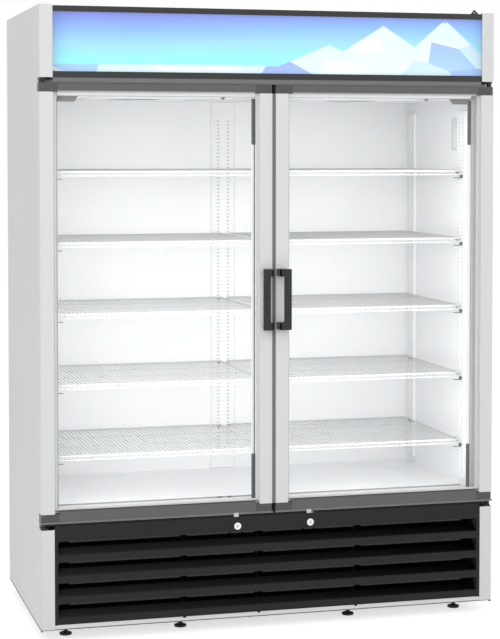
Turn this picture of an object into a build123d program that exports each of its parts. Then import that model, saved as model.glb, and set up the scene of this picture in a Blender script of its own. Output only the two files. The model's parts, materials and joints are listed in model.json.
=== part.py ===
from build123d import *
import math
import os

# Two-door upright glass door merchandiser refrigerator, in millimetres.
# X runs from the left door to the right one, Y from the doors to the back, Z up from the floor.
# The origin is on the floor, under the middle of the whole object.
# Depths are given from the face of the doors, and deep() turns one into a Y.

# Overall sizes
WIDTH = 1585.0
TOP = 2096.0
DEPTH = 780.0
FOOT_HEIGHT = 47.0
HANDLE_REACH = 45.0
SHEET = 1.2
CORNER_RADIUS = 5.0
OVERCUT = 1.0

HALF = WIDTH / 2
FACE = HANDLE_REACH / 2 - DEPTH / 2

# Levels on the front
POST_WIDTH = 44.0
LOWER_POST_TOP = 377.0
GRILLE_BOTTOM = 60.5
GRILLE_TOP = 389.0
DOOR_BOTTOM = 396.0
DOOR_TOP = 1841.5
HEADER_BOTTOM = 1859.0
SIGN_BOTTOM = 1879.0
SIGN_TOP = 2073.0
HEADER_TOP = 2092.0

# Doors
DOOR_THICKNESS = 47.0
DOOR_GAP = 9.0
STILE_WIDTH = 46.0
CAP_WIDTH = 60.0
TOP_RAIL_HEIGHT = 25.0
TOP_CAP_HEIGHT = 29.5
BOTTOM_RAIL_HEIGHT = 40.0
BOTTOM_CAP_HEIGHT = 32.5
DOOR_EDGE_RADIUS = 4.0
RAIL_BEVEL = 3.0
RAIL_SETBACK = 2.0
CAP_RADIUS = 11.0
WALL = 2.0
CHAMBER_FRONT = 4.0
CHAMBER_DEPTH = 30.0
GLASS_FRONT = 12.0
PANE = 4.0
GLASS_BACK = 34.0
GLASS_BITE = 8.0
SPACER_WIDTH = 12.0
SPACER_INSET = 3.0
GASKET_INSET = 11.0
GASKET_WIDTH = 11.0
GASKET_FRONT = 40.0
GASKET_BACK = 49.7
GROOVE_SLACK = 0.2

# Cold space
FRAME_DEPTH = 50.0
FRAME_THICKNESS = 4.0
INNER_HALF = 737.5
INNER_FLOOR = 431.0
INNER_CEILING = 1802.0
INNER_BACK = 700.0
FLOOR_UNDERSIDE = 379.0
FOAM_TOP = 2045.0
BACK_SHEET = DEPTH - 2 * SHEET
HEADER_DEPTH = 120.0
HEADER_BAR_DEPTH = 22.0
LINER = 1.5

# Evaporator pocket above the ceiling
POCKET_HALF = 560.0
POCKET_FRONT = 180.0
POCKET_BACK = 640.0
POCKET_TOP = 1985.0

# Centre mullion and shelving
MULLION_HALF = 40.0
MULLION_BACK = 116.0
MULLION_SHOULDER = 102.0
MULLION_TAPER = 14.0
MULLION_WALL = 3.0
PILASTER_WIDTH = 80.0
PILASTER_THICKNESS = 8.0
PILASTER_FRONT_CENTRE = 146.0
PILASTER_REAR_CENTRE = 655.0
SHELF_COUNT = 5
SHELF_TOP_FIRST = 600.0
SHELF_PITCH = 238.7
SHELF_FRONT = 130.0
SHELF_REAR = 688.0
SHELF_INNER = 6.0
SHELF_OUTER = 726.0
SHELF_GAPS = 12
ROD = 6.0
WIRE = 3.2
LOWER_ROD = 4.0
LOWER_ROD_DROP = 16.0

# Levelling feet, measured from the middle and from the door face
FOOT_X = (300.5, 695.0)
FOOT_DEPTHS = (112.0, 690.0)
FOOT_RADIUS = 19.5
FOOT_SIDES = 10
FOOT_NECK = 8.0
NECK_SIDES = 6
PAD_HEIGHT = 7.0

# Hinges
PIN_INSET = 10.0
PIN_DEPTH = 20.0
PIN_RADIUS = 5.0
PIN_LENGTH = 14.0
BORE_LENGTH = 16.0
SHAFT_CLEARANCE = 0.05

# Locks
LOCK_X = 128.0
LOCK_Z = 357.0
LOCK_RADIUS = 12.0
CAM_FRONT = 31.0
CAM_THICKNESS = 3.0
CAM_REACH = 45.0
CAM_TAIL = 8.0
CAM_WIDTH = 14.0
CAM_CORNER = 3.5
LOCK_PROUD = 4.0
KEYWAY = (2.0, 8.0)
KEYWAY_DEPTH = 2.0

CAM_SLOT = (-26.0, 10.0)
CAM_SLOT_HEIGHT = 9.0
CAM_CLEARANCE = 2.0
TAB = (-4.0, 12.0)
TAB_SHEET = 1.5
TAB_DROP = 8.0
TAB_RISE = 6.0
TAB_DEPTH = 20.0

# Handles
HANDLE_NEAR = 12.0
HANDLE_BAR_NEAR = 24.0
HANDLE_FAR = 49.0
HANDLE_SEAT = 36.0
HANDLE_BOTTOM = 1019.0
HANDLE_TOP = 1224.0
HANDLE_LEG = 24.7
HANDLE_BAR = 8.0
HANDLE_CORNER = 3.0
HANDLE_BEVEL = 1.5
HANDLE_END_BEVEL = 7.0


def deep(depth):
    """The Y of a depth behind the face of the doors."""
    return FACE + depth


def save(builder, label):
    """Names a finished piece and writes its file."""
    builder.part.label = label
    export_step(builder.part, f"parts/{label}.step")


def block(x_range, depth_range, z_range, mode=Mode.ADD):
    """A rectangular block or cut between two X, two depths and two heights, inside a part."""
    x_size = abs(x_range[1] - x_range[0])
    y_size = depth_range[1] - depth_range[0]
    z_size = z_range[1] - z_range[0]
    middle = (sum(x_range) / 2, deep(sum(depth_range) / 2), sum(z_range) / 2)
    with Locations(middle):
        Box(x_size, y_size, z_size, mode=mode)


def shelf_tops():
    """The heights of the five shelves' tops, lowest first."""
    return [SHELF_TOP_FIRST + SHELF_PITCH * tier for tier in range(SHELF_COUNT)]


os.makedirs("parts", exist_ok=True)


# Side panels: one folded sheet each, with a front post above and below the doors
REAR_FLANGE = 18.0
POST_RETURN = 14.0
for side, sign in (("left", -1), ("right", 1)):
    outer = sign * HALF
    post = sign * (HALF - POST_WIDTH)
    flange = sign * (HALF - REAR_FLANGE)
    with BuildPart() as side_panel:
        with BuildSketch(Plane.XY.offset(FOOT_HEIGHT)) as plan:
            with BuildLine():
                Polyline(
                    (outer, deep(0)),
                    (post, deep(0)),
                    (post, deep(POST_RETURN)),
                    (post + sign * SHEET, deep(POST_RETURN)),
                    (post + sign * SHEET, deep(SHEET)),
                    (outer - sign * SHEET, deep(SHEET)),
                    (outer - sign * SHEET, deep(DEPTH - SHEET)),
                    (flange, deep(DEPTH - SHEET)),
                    (flange, deep(DEPTH)),
                    (outer, deep(DEPTH)),
                    close=True,
                )
            make_face()
            for corner, radius in (
                ((outer, deep(0)), CORNER_RADIUS),
                ((outer - sign * SHEET, deep(SHEET)), CORNER_RADIUS - SHEET),
            ):
                fillet(plan.vertices().sort_by_distance((*corner, FOOT_HEIGHT))[0], radius=radius)
        extrude(amount=TOP - FOOT_HEIGHT)
        block(
            (outer - sign * POST_WIDTH, outer),
            (-OVERCUT, FRAME_DEPTH),
            (LOWER_POST_TOP, HEADER_BOTTOM),
            mode=Mode.SUBTRACT,
        )
    save(side_panel, f"side_panel_{side}")


# Top panel: a sheet with a turned-down rear edge, between the side panels
REAR_LIP = 20.0
with BuildPart() as top_panel:
    with BuildSketch(Plane.YZ.offset(SHEET - HALF)):
        with BuildLine():
            Polyline(
                (deep(HEADER_BAR_DEPTH), HEADER_TOP - SHEET),
                (deep(HEADER_BAR_DEPTH), HEADER_TOP),
                (deep(DEPTH - SHEET), HEADER_TOP),
                (deep(DEPTH - SHEET), HEADER_TOP - REAR_LIP),
                (deep(BACK_SHEET), HEADER_TOP - REAR_LIP),
                (deep(BACK_SHEET), HEADER_TOP - SHEET),
                close=True,
            )
        make_face()
    extrude(amount=2 * (HALF - SHEET))
save(top_panel, "top_panel")


# Back panel: a sheet with rows of vent slots over the machine space
VENT_LENGTH = 190.0
VENT_HEIGHT = 9.0
VENT_MIDDLE = 220.0
VENT_COLUMNS = 4
VENT_ROWS = 4
VENT_COLUMN_PITCH = 340.0
VENT_ROW_PITCH = 38.0
with BuildPart() as back_panel:
    block(
        (SHEET - HALF, HALF - SHEET),
        (BACK_SHEET, DEPTH - SHEET),
        (GRILLE_BOTTOM, HEADER_TOP - REAR_LIP),
    )
    with BuildSketch(Plane.XZ.offset(-deep(DEPTH))):
        with Locations((0, VENT_MIDDLE)):
            with GridLocations(VENT_COLUMN_PITCH, VENT_ROW_PITCH, VENT_COLUMNS, VENT_ROWS):
                Rectangle(VENT_LENGTH, VENT_HEIGHT)
    extrude(amount=DEPTH - BACK_SHEET + OVERCUT, mode=Mode.SUBTRACT)
save(back_panel, "back_panel")


# Base frame: a folded pan with its edge turned down, notched round the posts
PAN_WALL = 2.0
PAN_FRONT = 3.0
POST_NOTCH = 16.0
with BuildPart() as base_frame:
    with BuildSketch(Plane.XY.offset(FOOT_HEIGHT)) as pan:
        with BuildLine():
            Polyline(
                (POST_WIDTH - HALF, deep(PAN_FRONT)),
                (HALF - POST_WIDTH, deep(PAN_FRONT)),
                (HALF - POST_WIDTH, deep(POST_NOTCH)),
                (HALF - SHEET, deep(POST_NOTCH)),
                (HALF - SHEET, deep(BACK_SHEET)),
                (SHEET - HALF, deep(BACK_SHEET)),
                (SHEET - HALF, deep(POST_NOTCH)),
                (POST_WIDTH - HALF, deep(POST_NOTCH)),
                close=True,
            )
        make_face()
    extrude(amount=GRILLE_BOTTOM - FOOT_HEIGHT)
    with BuildSketch(Plane.XY.offset(FOOT_HEIGHT)):
        add(pan.sketch)
        offset(amount=-PAN_WALL, mode=Mode.REPLACE)
    extrude(amount=GRILLE_BOTTOM - FOOT_HEIGHT - PAN_WALL, mode=Mode.SUBTRACT)
save(base_frame, "base_frame")


# Levelling feet: a many-sided pad that is turned by hand, with a hexagonal neck up to the pan
with BuildPart() as levelling_feet:
    foot_spots = [(x * sign, deep(d)) for x in FOOT_X for sign in (-1, 1) for d in FOOT_DEPTHS]
    for level, radius, sides, height in (
        (0, FOOT_RADIUS, FOOT_SIDES, PAD_HEIGHT),
        (PAD_HEIGHT, FOOT_NECK, NECK_SIDES, GRILLE_BOTTOM - PAN_WALL - PAD_HEIGHT),
    ):
        with BuildSketch(Plane.XY.offset(level)):
            with Locations(*foot_spots):
                RegularPolygon(radius, sides)
        extrude(amount=height)
save(levelling_feet, "levelling_feet")


# Insulation: one foamed body with the cold space, the evaporator pocket and the pipe chase cut out
CHASE_X = (380.0, 420.0)
CHASE_LEVEL = (1868.0, 1898.0)
CHASE_DEPTH = 26.0
LINER_FRONT = FRAME_DEPTH + FRAME_THICKNESS
with BuildPart() as insulation:
    with BuildSketch(Plane.YZ.offset(-HALF + SHEET)):
        with BuildLine():
            Polyline(
                (deep(LINER_FRONT), FLOOR_UNDERSIDE),
                (deep(LINER_FRONT), HEADER_BOTTOM),
                (deep(HEADER_DEPTH), HEADER_BOTTOM),
                (deep(HEADER_DEPTH), FOAM_TOP),
                (deep(BACK_SHEET), FOAM_TOP),
                (deep(BACK_SHEET), FLOOR_UNDERSIDE),
                close=True,
            )
        make_face()
    extrude(amount=2 * (HALF - SHEET))
    block(
        (-INNER_HALF - LINER, INNER_HALF + LINER),
        (0, INNER_BACK + LINER),
        (INNER_FLOOR - LINER, INNER_CEILING + LINER),
        mode=Mode.SUBTRACT,
    )
    block(
        (-POCKET_HALF - LINER, POCKET_HALF + LINER),
        (POCKET_FRONT - LINER, POCKET_BACK + LINER),
        (INNER_CEILING, POCKET_TOP + LINER),
        mode=Mode.SUBTRACT,
    )
    chase_depths = (BACK_SHEET - CHASE_DEPTH, BACK_SHEET)
    block(CHASE_X, chase_depths, (FLOOR_UNDERSIDE, CHASE_LEVEL[1]), mode=Mode.SUBTRACT)
    block(CHASE_X, (POCKET_BACK, BACK_SHEET), CHASE_LEVEL, mode=Mode.SUBTRACT)
save(insulation, "insulation")


# Inner liner: the white skin of the cold space and of the evaporator pocket
with BuildPart() as inner_liner:
    block(
        (-INNER_HALF - LINER, INNER_HALF + LINER),
        (LINER_FRONT, INNER_BACK + LINER),
        (INNER_FLOOR - LINER, INNER_CEILING + LINER),
    )
    block(
        (-POCKET_HALF - LINER, POCKET_HALF + LINER),
        (POCKET_FRONT - LINER, POCKET_BACK + LINER),
        (INNER_CEILING, POCKET_TOP + LINER),
    )
    block(
        (-INNER_HALF, INNER_HALF),
        (0, INNER_BACK),
        (INNER_FLOOR, INNER_CEILING),
        mode=Mode.SUBTRACT,
    )
    block(
        (-POCKET_HALF, POCKET_HALF),
        (POCKET_FRONT, POCKET_BACK),
        (INNER_CEILING - OVERCUT, POCKET_TOP),
        mode=Mode.SUBTRACT,
    )
    block(CHASE_X, (POCKET_BACK - OVERCUT, BACK_SHEET), CHASE_LEVEL, mode=Mode.SUBTRACT)
save(inner_liner, "inner_liner")


LIP_WALL = 2.0
LIP_DEPTH = 26.0

# Front frame: the face that the door gaskets close on, with a lip turned into the cold space
with BuildPart() as front_frame:
    with BuildSketch(Plane.XZ.offset(-deep(FRAME_DEPTH))):
        with Locations((0, (FLOOR_UNDERSIDE + HEADER_BOTTOM) / 2)):
            Rectangle(2 * (HALF - SHEET), HEADER_BOTTOM - FLOOR_UNDERSIDE)
        with Locations((0, (INNER_FLOOR + INNER_CEILING) / 2)):
            Rectangle(2 * INNER_HALF, INNER_CEILING - INNER_FLOOR, mode=Mode.SUBTRACT)
    extrude(amount=-FRAME_THICKNESS)
    with BuildSketch(Plane.XZ.offset(-deep(FRAME_DEPTH))):
        with Locations((0, (INNER_FLOOR + INNER_CEILING) / 2)):
            Rectangle(2 * INNER_HALF, INNER_CEILING - INNER_FLOOR)
            Rectangle(
                2 * (INNER_HALF - LIP_WALL),
                INNER_CEILING - INNER_FLOOR - 2 * LIP_WALL,
                mode=Mode.SUBTRACT,
            )
    extrude(amount=-LIP_DEPTH)
save(front_frame, "front_frame")


# Centre mullion: a hollow post behind the meeting edges of the doors, narrower at its back
with BuildPart() as centre_mullion:
    with BuildSketch(Plane.XY.offset(INNER_FLOOR + LIP_WALL)) as section:
        with BuildLine():
            Polyline(
                (-MULLION_HALF, deep(FRAME_DEPTH)),
                (MULLION_HALF, deep(FRAME_DEPTH)),
                (MULLION_HALF, deep(MULLION_SHOULDER)),
                (MULLION_HALF - MULLION_TAPER, deep(MULLION_BACK)),
                (-MULLION_HALF + MULLION_TAPER, deep(MULLION_BACK)),
                (-MULLION_HALF, deep(MULLION_SHOULDER)),
                close=True,
            )
        make_face()
        offset(section.face(), amount=-MULLION_WALL, mode=Mode.SUBTRACT)
    extrude(amount=INNER_CEILING - INNER_FLOOR - 2 * LIP_WALL)
save(centre_mullion, "centre_mullion")


# Shelf pilasters: shallow hat channels with two rows of slots each, on the walls and the mullion
PILASTER_BOTTOM = INNER_FLOOR + 25
PILASTER_TOP = INNER_CEILING - 40
PILASTER_SLOPE = 6.0
PILASTER_FOOT = 3.0
PILASTER_WALL = 1.5


def pilaster_section(plane):
    """The hat section of a pilaster on a plane whose Y points out of the wall that carries it."""
    half = PILASTER_WIDTH / 2
    inner_half = half - PILASTER_SLOPE - PILASTER_WALL
    with BuildSketch(plane) as hat:
        with BuildLine():
            Polyline(
                (-half, 0),
                (-half + PILASTER_SLOPE, PILASTER_THICKNESS),
                (half - PILASTER_SLOPE, PILASTER_THICKNESS),
                (half, 0),
                (half - PILASTER_FOOT, 0),
                (inner_half, PILASTER_THICKNESS - PILASTER_WALL),
                (-inner_half, PILASTER_THICKNESS - PILASTER_WALL),
                (-half + PILASTER_FOOT, 0),
                close=True,
            )
        make_face()
    extrude(hat.sketch, amount=PILASTER_TOP - PILASTER_BOTTOM)


with BuildPart() as shelf_pilasters:
    spots = [
        ((0, INNER_BACK), (-1, 0)),
        ((0, MULLION_BACK), (1, 0)),
    ]
    for depth in (PILASTER_FRONT_CENTRE, PILASTER_REAR_CENTRE):
        spots.append(((-INNER_HALF, depth), (0, -1)))
        spots.append(((INNER_HALF, depth), (0, 1)))
    for (x, depth), along in spots:
        origin = (x, deep(depth), PILASTER_BOTTOM)
        pilaster_section(Plane(origin=origin, x_dir=(*along, 0), z_dir=(0, 0, 1)))
save(shelf_pilasters, "shelf_pilasters")


# Wire shelves: a rod round the edge, wires from front to back and a second rod under the front edge
for side, sign in (("left", -1), ("right", 1)):
    for tier, top in enumerate(shelf_tops(), start=1):
        middle_x = sign * (SHELF_INNER + SHELF_OUTER) / 2
        middle_depth = (SHELF_FRONT + SHELF_REAR) / 2
        shelf_width = SHELF_OUTER - SHELF_INNER
        wire_pitch = (shelf_width - ROD) / SHELF_GAPS
        with BuildPart() as shelf:
            with BuildSketch(Plane.XY.offset(top - WIRE)):
                with Locations((middle_x, deep(middle_depth))):
                    Rectangle(shelf_width, SHELF_REAR - SHELF_FRONT)
                    with GridLocations(wire_pitch, 1, SHELF_GAPS, 1):
                        Rectangle(wire_pitch - WIRE, SHELF_REAR - SHELF_FRONT - 2 * ROD, mode=Mode.SUBTRACT)
            extrude(amount=WIRE)
            rod_ends = (sign * SHELF_INNER, sign * SHELF_OUTER)
            rod_depths = (SHELF_FRONT, SHELF_FRONT + LOWER_ROD)
            rod_low = top - LOWER_ROD_DROP
            rod_half = LOWER_ROD / 2
            block(rod_ends, rod_depths, (rod_low, rod_low + LOWER_ROD))
            for x in (sign * (SHELF_INNER + rod_half), middle_x, sign * (SHELF_OUTER - rod_half)):
                block((x - rod_half, x + rod_half), rod_depths, (rod_low + LOWER_ROD, top - WIRE))
        save(shelf, f"shelf_{side}_{tier}")


# Shelf clips: four hooks under each shelf, out of the pilasters at its corners
CLIP_REACH = 11.0
CLIP_WIDTH = 10.0
CLIP_TIP = 3.0
CLIP_ROOT = 12.0
SLOT_ROW = 18.5
CLIP_DROP = 12.8


def clip(origin, out):
    """One clip: a wedge that stands out of a pilaster, with its flat top under the shelf."""
    with BuildSketch(Plane(origin=origin, x_dir=(*out, 0), z_dir=(out[1], -out[0], 0))) as wedge:
        with BuildLine():
            Polyline((0, 0), (CLIP_REACH, 0), (CLIP_REACH, -CLIP_TIP), (0, -CLIP_ROOT), close=True)
        make_face()
    extrude(wedge.sketch, amount=CLIP_WIDTH / 2, both=True)


with BuildPart() as shelf_clips:
    wall_face = INNER_HALF - PILASTER_THICKNESS
    for top in shelf_tops():
        seat = top - WIRE
        for sign in (-1, 1):
            for depth in (PILASTER_FRONT_CENTRE + SLOT_ROW, PILASTER_REAR_CENTRE - SLOT_ROW):
                clip((sign * wall_face, deep(depth), seat), (-sign, 0))
            clip((sign * SLOT_ROW, deep(INNER_BACK - PILASTER_THICKNESS), seat), (0, -1))
            mullion_face = deep(MULLION_BACK + PILASTER_THICKNESS)
            clip((sign * SLOT_ROW, mullion_face, seat - CLIP_DROP), (0, 1))
save(shelf_clips, "shelf_clips")


# Lamps: four upright light strips, two on the mullion and one inside each front corner
LAMP_MARGIN = 6.0
LAMP_BOTTOM = INNER_FLOOR + LAMP_MARGIN
LAMP_TOP = INNER_CEILING - LAMP_MARGIN
LENS_BOTTOM = 590.0
LENS_TOP = 1641.0
LAMP_DEPTHS = (60.0, 76.0)
LAMP_CHANNEL = 4.0
LAMP_REACH = 11.5
LENS_BEVEL = 3.0
LENS_CHEEK = 4.0
LAMP_WALLS = (
    (LIP_WALL - INNER_HALF, 1),
    (-MULLION_HALF, -1),
    (MULLION_HALF, 1),
    (INNER_HALF - LIP_WALL, -1),
)

with BuildPart() as lamp_channels:
    for wall, out in LAMP_WALLS:
        block((wall, wall + out * LAMP_CHANNEL), LAMP_DEPTHS, (LAMP_BOTTOM, LAMP_TOP))
save(lamp_channels, "lamp_channels")


def lamp_length(wall, out, low, high):
    """A length of bevelled lens or end cap between two heights, standing on its channel."""
    base = wall + out * LAMP_CHANNEL
    tip = wall + out * LAMP_REACH
    front = deep(LAMP_DEPTHS[0])
    back = deep(LAMP_DEPTHS[1])
    with BuildSketch(Plane.XY.offset(low)) as section:
        with BuildLine():
            Polyline(
                (base, front),
                (tip - out * LENS_BEVEL, front),
                (tip, front + LENS_CHEEK),
                (tip, back - LENS_CHEEK),
                (tip - out * LENS_BEVEL, back),
                (base, back),
                close=True,
            )
        make_face()
    extrude(section.sketch, amount=high - low)


with BuildPart() as lamp_lenses:
    for wall, out in LAMP_WALLS:
        lamp_length(wall, out, LENS_BOTTOM, LENS_TOP)
save(lamp_lenses, "lamp_lenses")

with BuildPart() as lamp_end_caps:
    for wall, out in LAMP_WALLS:
        lamp_length(wall, out, LAMP_BOTTOM, LENS_BOTTOM)
        lamp_length(wall, out, LENS_TOP, LAMP_TOP)
save(lamp_end_caps, "lamp_end_caps")

# Wiring covers: tapered boxes under the frame's lip beside the outer lamps
COVER_HEIGHT = 18.0
COVER_FRONT = 58.0
COVER_INNER = 656.0
COVER_OUTER = 723.0
COVER_SLOPE = 12.0
with BuildPart() as wiring_covers:
    for sign in (-1, 1):
        top = INNER_CEILING - LIP_WALL
        with BuildSketch(Plane.XZ.offset(-deep(COVER_FRONT))):
            with BuildLine():
                Polyline(
                    (sign * COVER_INNER, top),
                    (sign * COVER_OUTER, top),
                    (sign * COVER_OUTER, top - COVER_HEIGHT),
                    (sign * (COVER_INNER + COVER_SLOPE), top - COVER_HEIGHT),
                    close=True,
                )
            make_face()
        extrude(amount=COVER_FRONT - FRAME_DEPTH - LIP_DEPTH)
save(wiring_covers, "wiring_covers")


# Evaporator cover: the ceiling panel under the pocket, with two fan mouths and a return grille
EVAPORATOR_FAN_X = 400.0
EVAPORATOR_FAN_DEPTH = 400.0
EVAPORATOR_FAN_RADIUS = 88.0
FAN_CLEARANCE = 6.0
COVER_SHEET = 2.0
COVER_LAP = (40.0, 30.0)
RETURN_SLOT = (420.0, 30.0)
RETURN_PITCH = 60.0
RETURN_COUNT = 5
with BuildPart() as evaporator_cover:
    with BuildSketch(Plane.XY.offset(INNER_CEILING - COVER_SHEET)):
        with Locations((0, deep((POCKET_FRONT + POCKET_BACK) / 2))):
            Rectangle(2 * POCKET_HALF + COVER_LAP[0], POCKET_BACK - POCKET_FRONT + COVER_LAP[1])
        with Locations((0, deep(EVAPORATOR_FAN_DEPTH))):
            with GridLocations(2 * EVAPORATOR_FAN_X, 1, 2, 1):
                Circle(EVAPORATOR_FAN_RADIUS + FAN_CLEARANCE, mode=Mode.SUBTRACT)
            with GridLocations(1, RETURN_PITCH, 1, RETURN_COUNT):
                Rectangle(*RETURN_SLOT, mode=Mode.SUBTRACT)
    extrude(amount=COVER_SHEET)
save(evaporator_cover, "evaporator_cover")


FIN = 2.0
COIL_BORDER = 8.0


def finned_coil(x_range, depth_range, z_range, fins):
    """A block of plate fins between two end plates, with the gaps between fins cut through it."""
    block(x_range, depth_range, z_range)
    fin_pitch = (x_range[1] - x_range[0]) / fins
    middle = (sum(x_range) / 2, deep(sum(depth_range) / 2), sum(z_range) / 2)
    with Locations(middle):
        with GridLocations(fin_pitch, 1, fins - 1, 1):
            Box(
                fin_pitch - FIN,
                depth_range[1] - depth_range[0] + 2 * OVERCUT,
                z_range[1] - z_range[0] - 2 * COIL_BORDER,
                mode=Mode.SUBTRACT,
            )


# Evaporator coil: finned, with its tube bends at one end
EVAPORATOR_X = (-230.0, 230.0)
EVAPORATOR_DEPTHS = (300.0, 560.0)
EVAPORATOR_BOTTOM = 1850.0
EVAPORATOR_FINS = 12
SUCTION_LEVEL = 1883.0
BEND_LEVELS = (SUCTION_LEVEL, 1945.0)
BEND_DEPTHS = (370.0, 450.0)
BEND = (60.0, 10.0)
BEND_REACH = 15.0
with BuildPart() as evaporator_coil:
    finned_coil(EVAPORATOR_X, EVAPORATOR_DEPTHS, (EVAPORATOR_BOTTOM, POCKET_TOP), EVAPORATOR_FINS)
    with BuildSketch(Plane.YZ.offset(EVAPORATOR_X[1])):
        with Locations(*[(deep(depth), level) for depth in BEND_DEPTHS for level in BEND_LEVELS]):
            Rectangle(*BEND)
    extrude(amount=BEND_REACH)
save(evaporator_coil, "evaporator_coil")


FAN_PITCH = 28.0
FAN_BLADES = 5
BLADE_ROOT = 12.0
BLADE_BITE = 3.0
BLADE_THICKNESS = 2.0
EVAPORATOR_FAN_LEVEL = 34.0
EVAPORATOR_MOTOR_LEVEL = 52.0


def fan_wheel(wheel, reach, hub, front, back):
    """A ten-sided hub that ends at its motor's face, with pitched blades that widen outward."""
    with BuildSketch(wheel.offset(-front)) as boss:
        RegularPolygon(hub, 2 * FAN_BLADES)
    extrude(boss.sketch, amount=front + back)
    chord = reach / 4
    for turn in range(FAN_BLADES):
        spoke = wheel.location * Rotation(0, 0, 360 * turn / FAN_BLADES) * Rotation(FAN_PITCH, 0, 0)
        with BuildSketch(Plane(spoke)) as blade:
            with BuildLine():
                Polyline(
                    (hub - BLADE_BITE, -BLADE_ROOT),
                    (reach * 0.9, -chord),
                    (reach, 0),
                    (reach * 0.93, chord),
                    (hub - BLADE_BITE, BLADE_ROOT),
                    close=True,
                )
            make_face()
        extrude(blade.sketch, amount=BLADE_THICKNESS / 2, both=True)


# Evaporator fans, each over its mouth in the ceiling
EVAPORATOR_HUB = 22.0
EVAPORATOR_HUB_FRONT = 12.0
for side, sign in (("left", -1), ("right", 1)):
    with BuildPart() as evaporator_fan:
        hub_centre = (
            sign * EVAPORATOR_FAN_X,
            deep(EVAPORATOR_FAN_DEPTH),
            INNER_CEILING + EVAPORATOR_FAN_LEVEL,
        )
        fan_wheel(
            Plane(origin=hub_centre, z_dir=(0, 0, 1)),
            EVAPORATOR_FAN_RADIUS,
            EVAPORATOR_HUB,
            EVAPORATOR_HUB_FRONT,
            EVAPORATOR_MOTOR_LEVEL - EVAPORATOR_FAN_LEVEL,
        )
    save(evaporator_fan, f"evaporator_fan_{side}")

# Evaporator fan motors, each on two bridges that stand on the cover
BRIDGE_SPREAD = 30.0
BRIDGE_WIDTH = 14.0
BRIDGE_WALL = 4.0
BRIDGE_MARGIN = 16.0
EVAPORATOR_MOTOR = (64.0, 74.0)
EVAPORATOR_MOTOR_HEIGHT = 46.0
with BuildPart() as evaporator_fan_motors:
    for sign in (-1, 1):
        base = Plane(origin=(sign * EVAPORATOR_FAN_X, deep(EVAPORATOR_FAN_DEPTH), INNER_CEILING))
        leg = EVAPORATOR_FAN_RADIUS + BRIDGE_MARGIN
        for depth in (-BRIDGE_SPREAD, BRIDGE_SPREAD):
            with BuildSketch(base.offset(EVAPORATOR_MOTOR_LEVEL)):
                with Locations((0, depth)):
                    Rectangle(2 * leg, BRIDGE_WIDTH)
            extrude(amount=BRIDGE_WALL)
            with BuildSketch(base):
                with Locations((0, depth)):
                    with GridLocations(2 * leg - BRIDGE_WALL, 1, 2, 1):
                        Rectangle(BRIDGE_WALL, BRIDGE_WIDTH)
            extrude(amount=EVAPORATOR_MOTOR_LEVEL)
        with BuildSketch(base.offset(EVAPORATOR_MOTOR_LEVEL)):
            Rectangle(*EVAPORATOR_MOTOR)
        extrude(amount=EVAPORATOR_MOTOR_HEIGHT)
save(evaporator_fan_motors, "evaporator_fan_motors")


# Compressor: a closed shell with a sloping shoulder, on a plate with four blocks under it
COMPRESSOR_X = 400.0
COMPRESSOR_DEPTH = 470.0
COMPRESSOR_RADIUS = 92.0
COMPRESSOR_SIDES = 24
PLATE_LEVELS = (70.0, 80.0)
PLATE = (220.0, 200.0)
SHOULDER_LEVEL = 222.0
SHOULDER_HEIGHT = 40.0
SHOULDER_SLOPE = 37.0
BLOCK_PITCH = (180.0, 160.0)
BLOCK = 24.0
with BuildPart() as compressor:
    for level, height, slope in (
        (PLATE_LEVELS[1], SHOULDER_LEVEL - PLATE_LEVELS[1], 0),
        (SHOULDER_LEVEL, SHOULDER_HEIGHT, SHOULDER_SLOPE),
    ):
        with BuildSketch(Plane.XY.offset(level)):
            with Locations((COMPRESSOR_X, deep(COMPRESSOR_DEPTH))):
                RegularPolygon(COMPRESSOR_RADIUS, COMPRESSOR_SIDES)
        extrude(amount=height, taper=slope)
    with BuildSketch(Plane.XY.offset(PLATE_LEVELS[0])):
        with Locations((COMPRESSOR_X, deep(COMPRESSOR_DEPTH))):
            Rectangle(*PLATE)
    extrude(amount=PLATE_LEVELS[1] - PLATE_LEVELS[0])
    with BuildSketch(Plane.XY.offset(GRILLE_BOTTOM)):
        with Locations((COMPRESSOR_X, deep(COMPRESSOR_DEPTH))):
            with GridLocations(*BLOCK_PITCH, 2, 2):
                Rectangle(BLOCK, BLOCK)
    extrude(amount=PLATE_LEVELS[0] - GRILLE_BOTTOM)
save(compressor, "compressor")


# Condenser coil: finned, across the front of the machine space behind the grille
CONDENSER_X = (-430.0, 30.0)
CONDENSER_DEPTHS = (136.0, 196.0)
CONDENSER_Z = (GRILLE_BOTTOM, 352.0)
CONDENSER_FINS = 14
DISCHARGE_LEVEL = 130.0
CONDENSER_BEND_LEVELS = (DISCHARGE_LEVEL, 210.0, 290.0)
CONDENSER_BEND = (44.0, 10.0)
CONDENSER_BEND_REACH = 14.0
with BuildPart() as condenser_coil:
    finned_coil(CONDENSER_X, CONDENSER_DEPTHS, CONDENSER_Z, CONDENSER_FINS)
    condenser_middle = deep(sum(CONDENSER_DEPTHS) / 2)
    with BuildSketch(Plane.YZ.offset(CONDENSER_X[1])):
        with Locations(*[(condenser_middle, level) for level in CONDENSER_BEND_LEVELS]):
            Rectangle(*CONDENSER_BEND)
    extrude(amount=CONDENSER_BEND_REACH)
save(condenser_coil, "condenser_coil")


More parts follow.
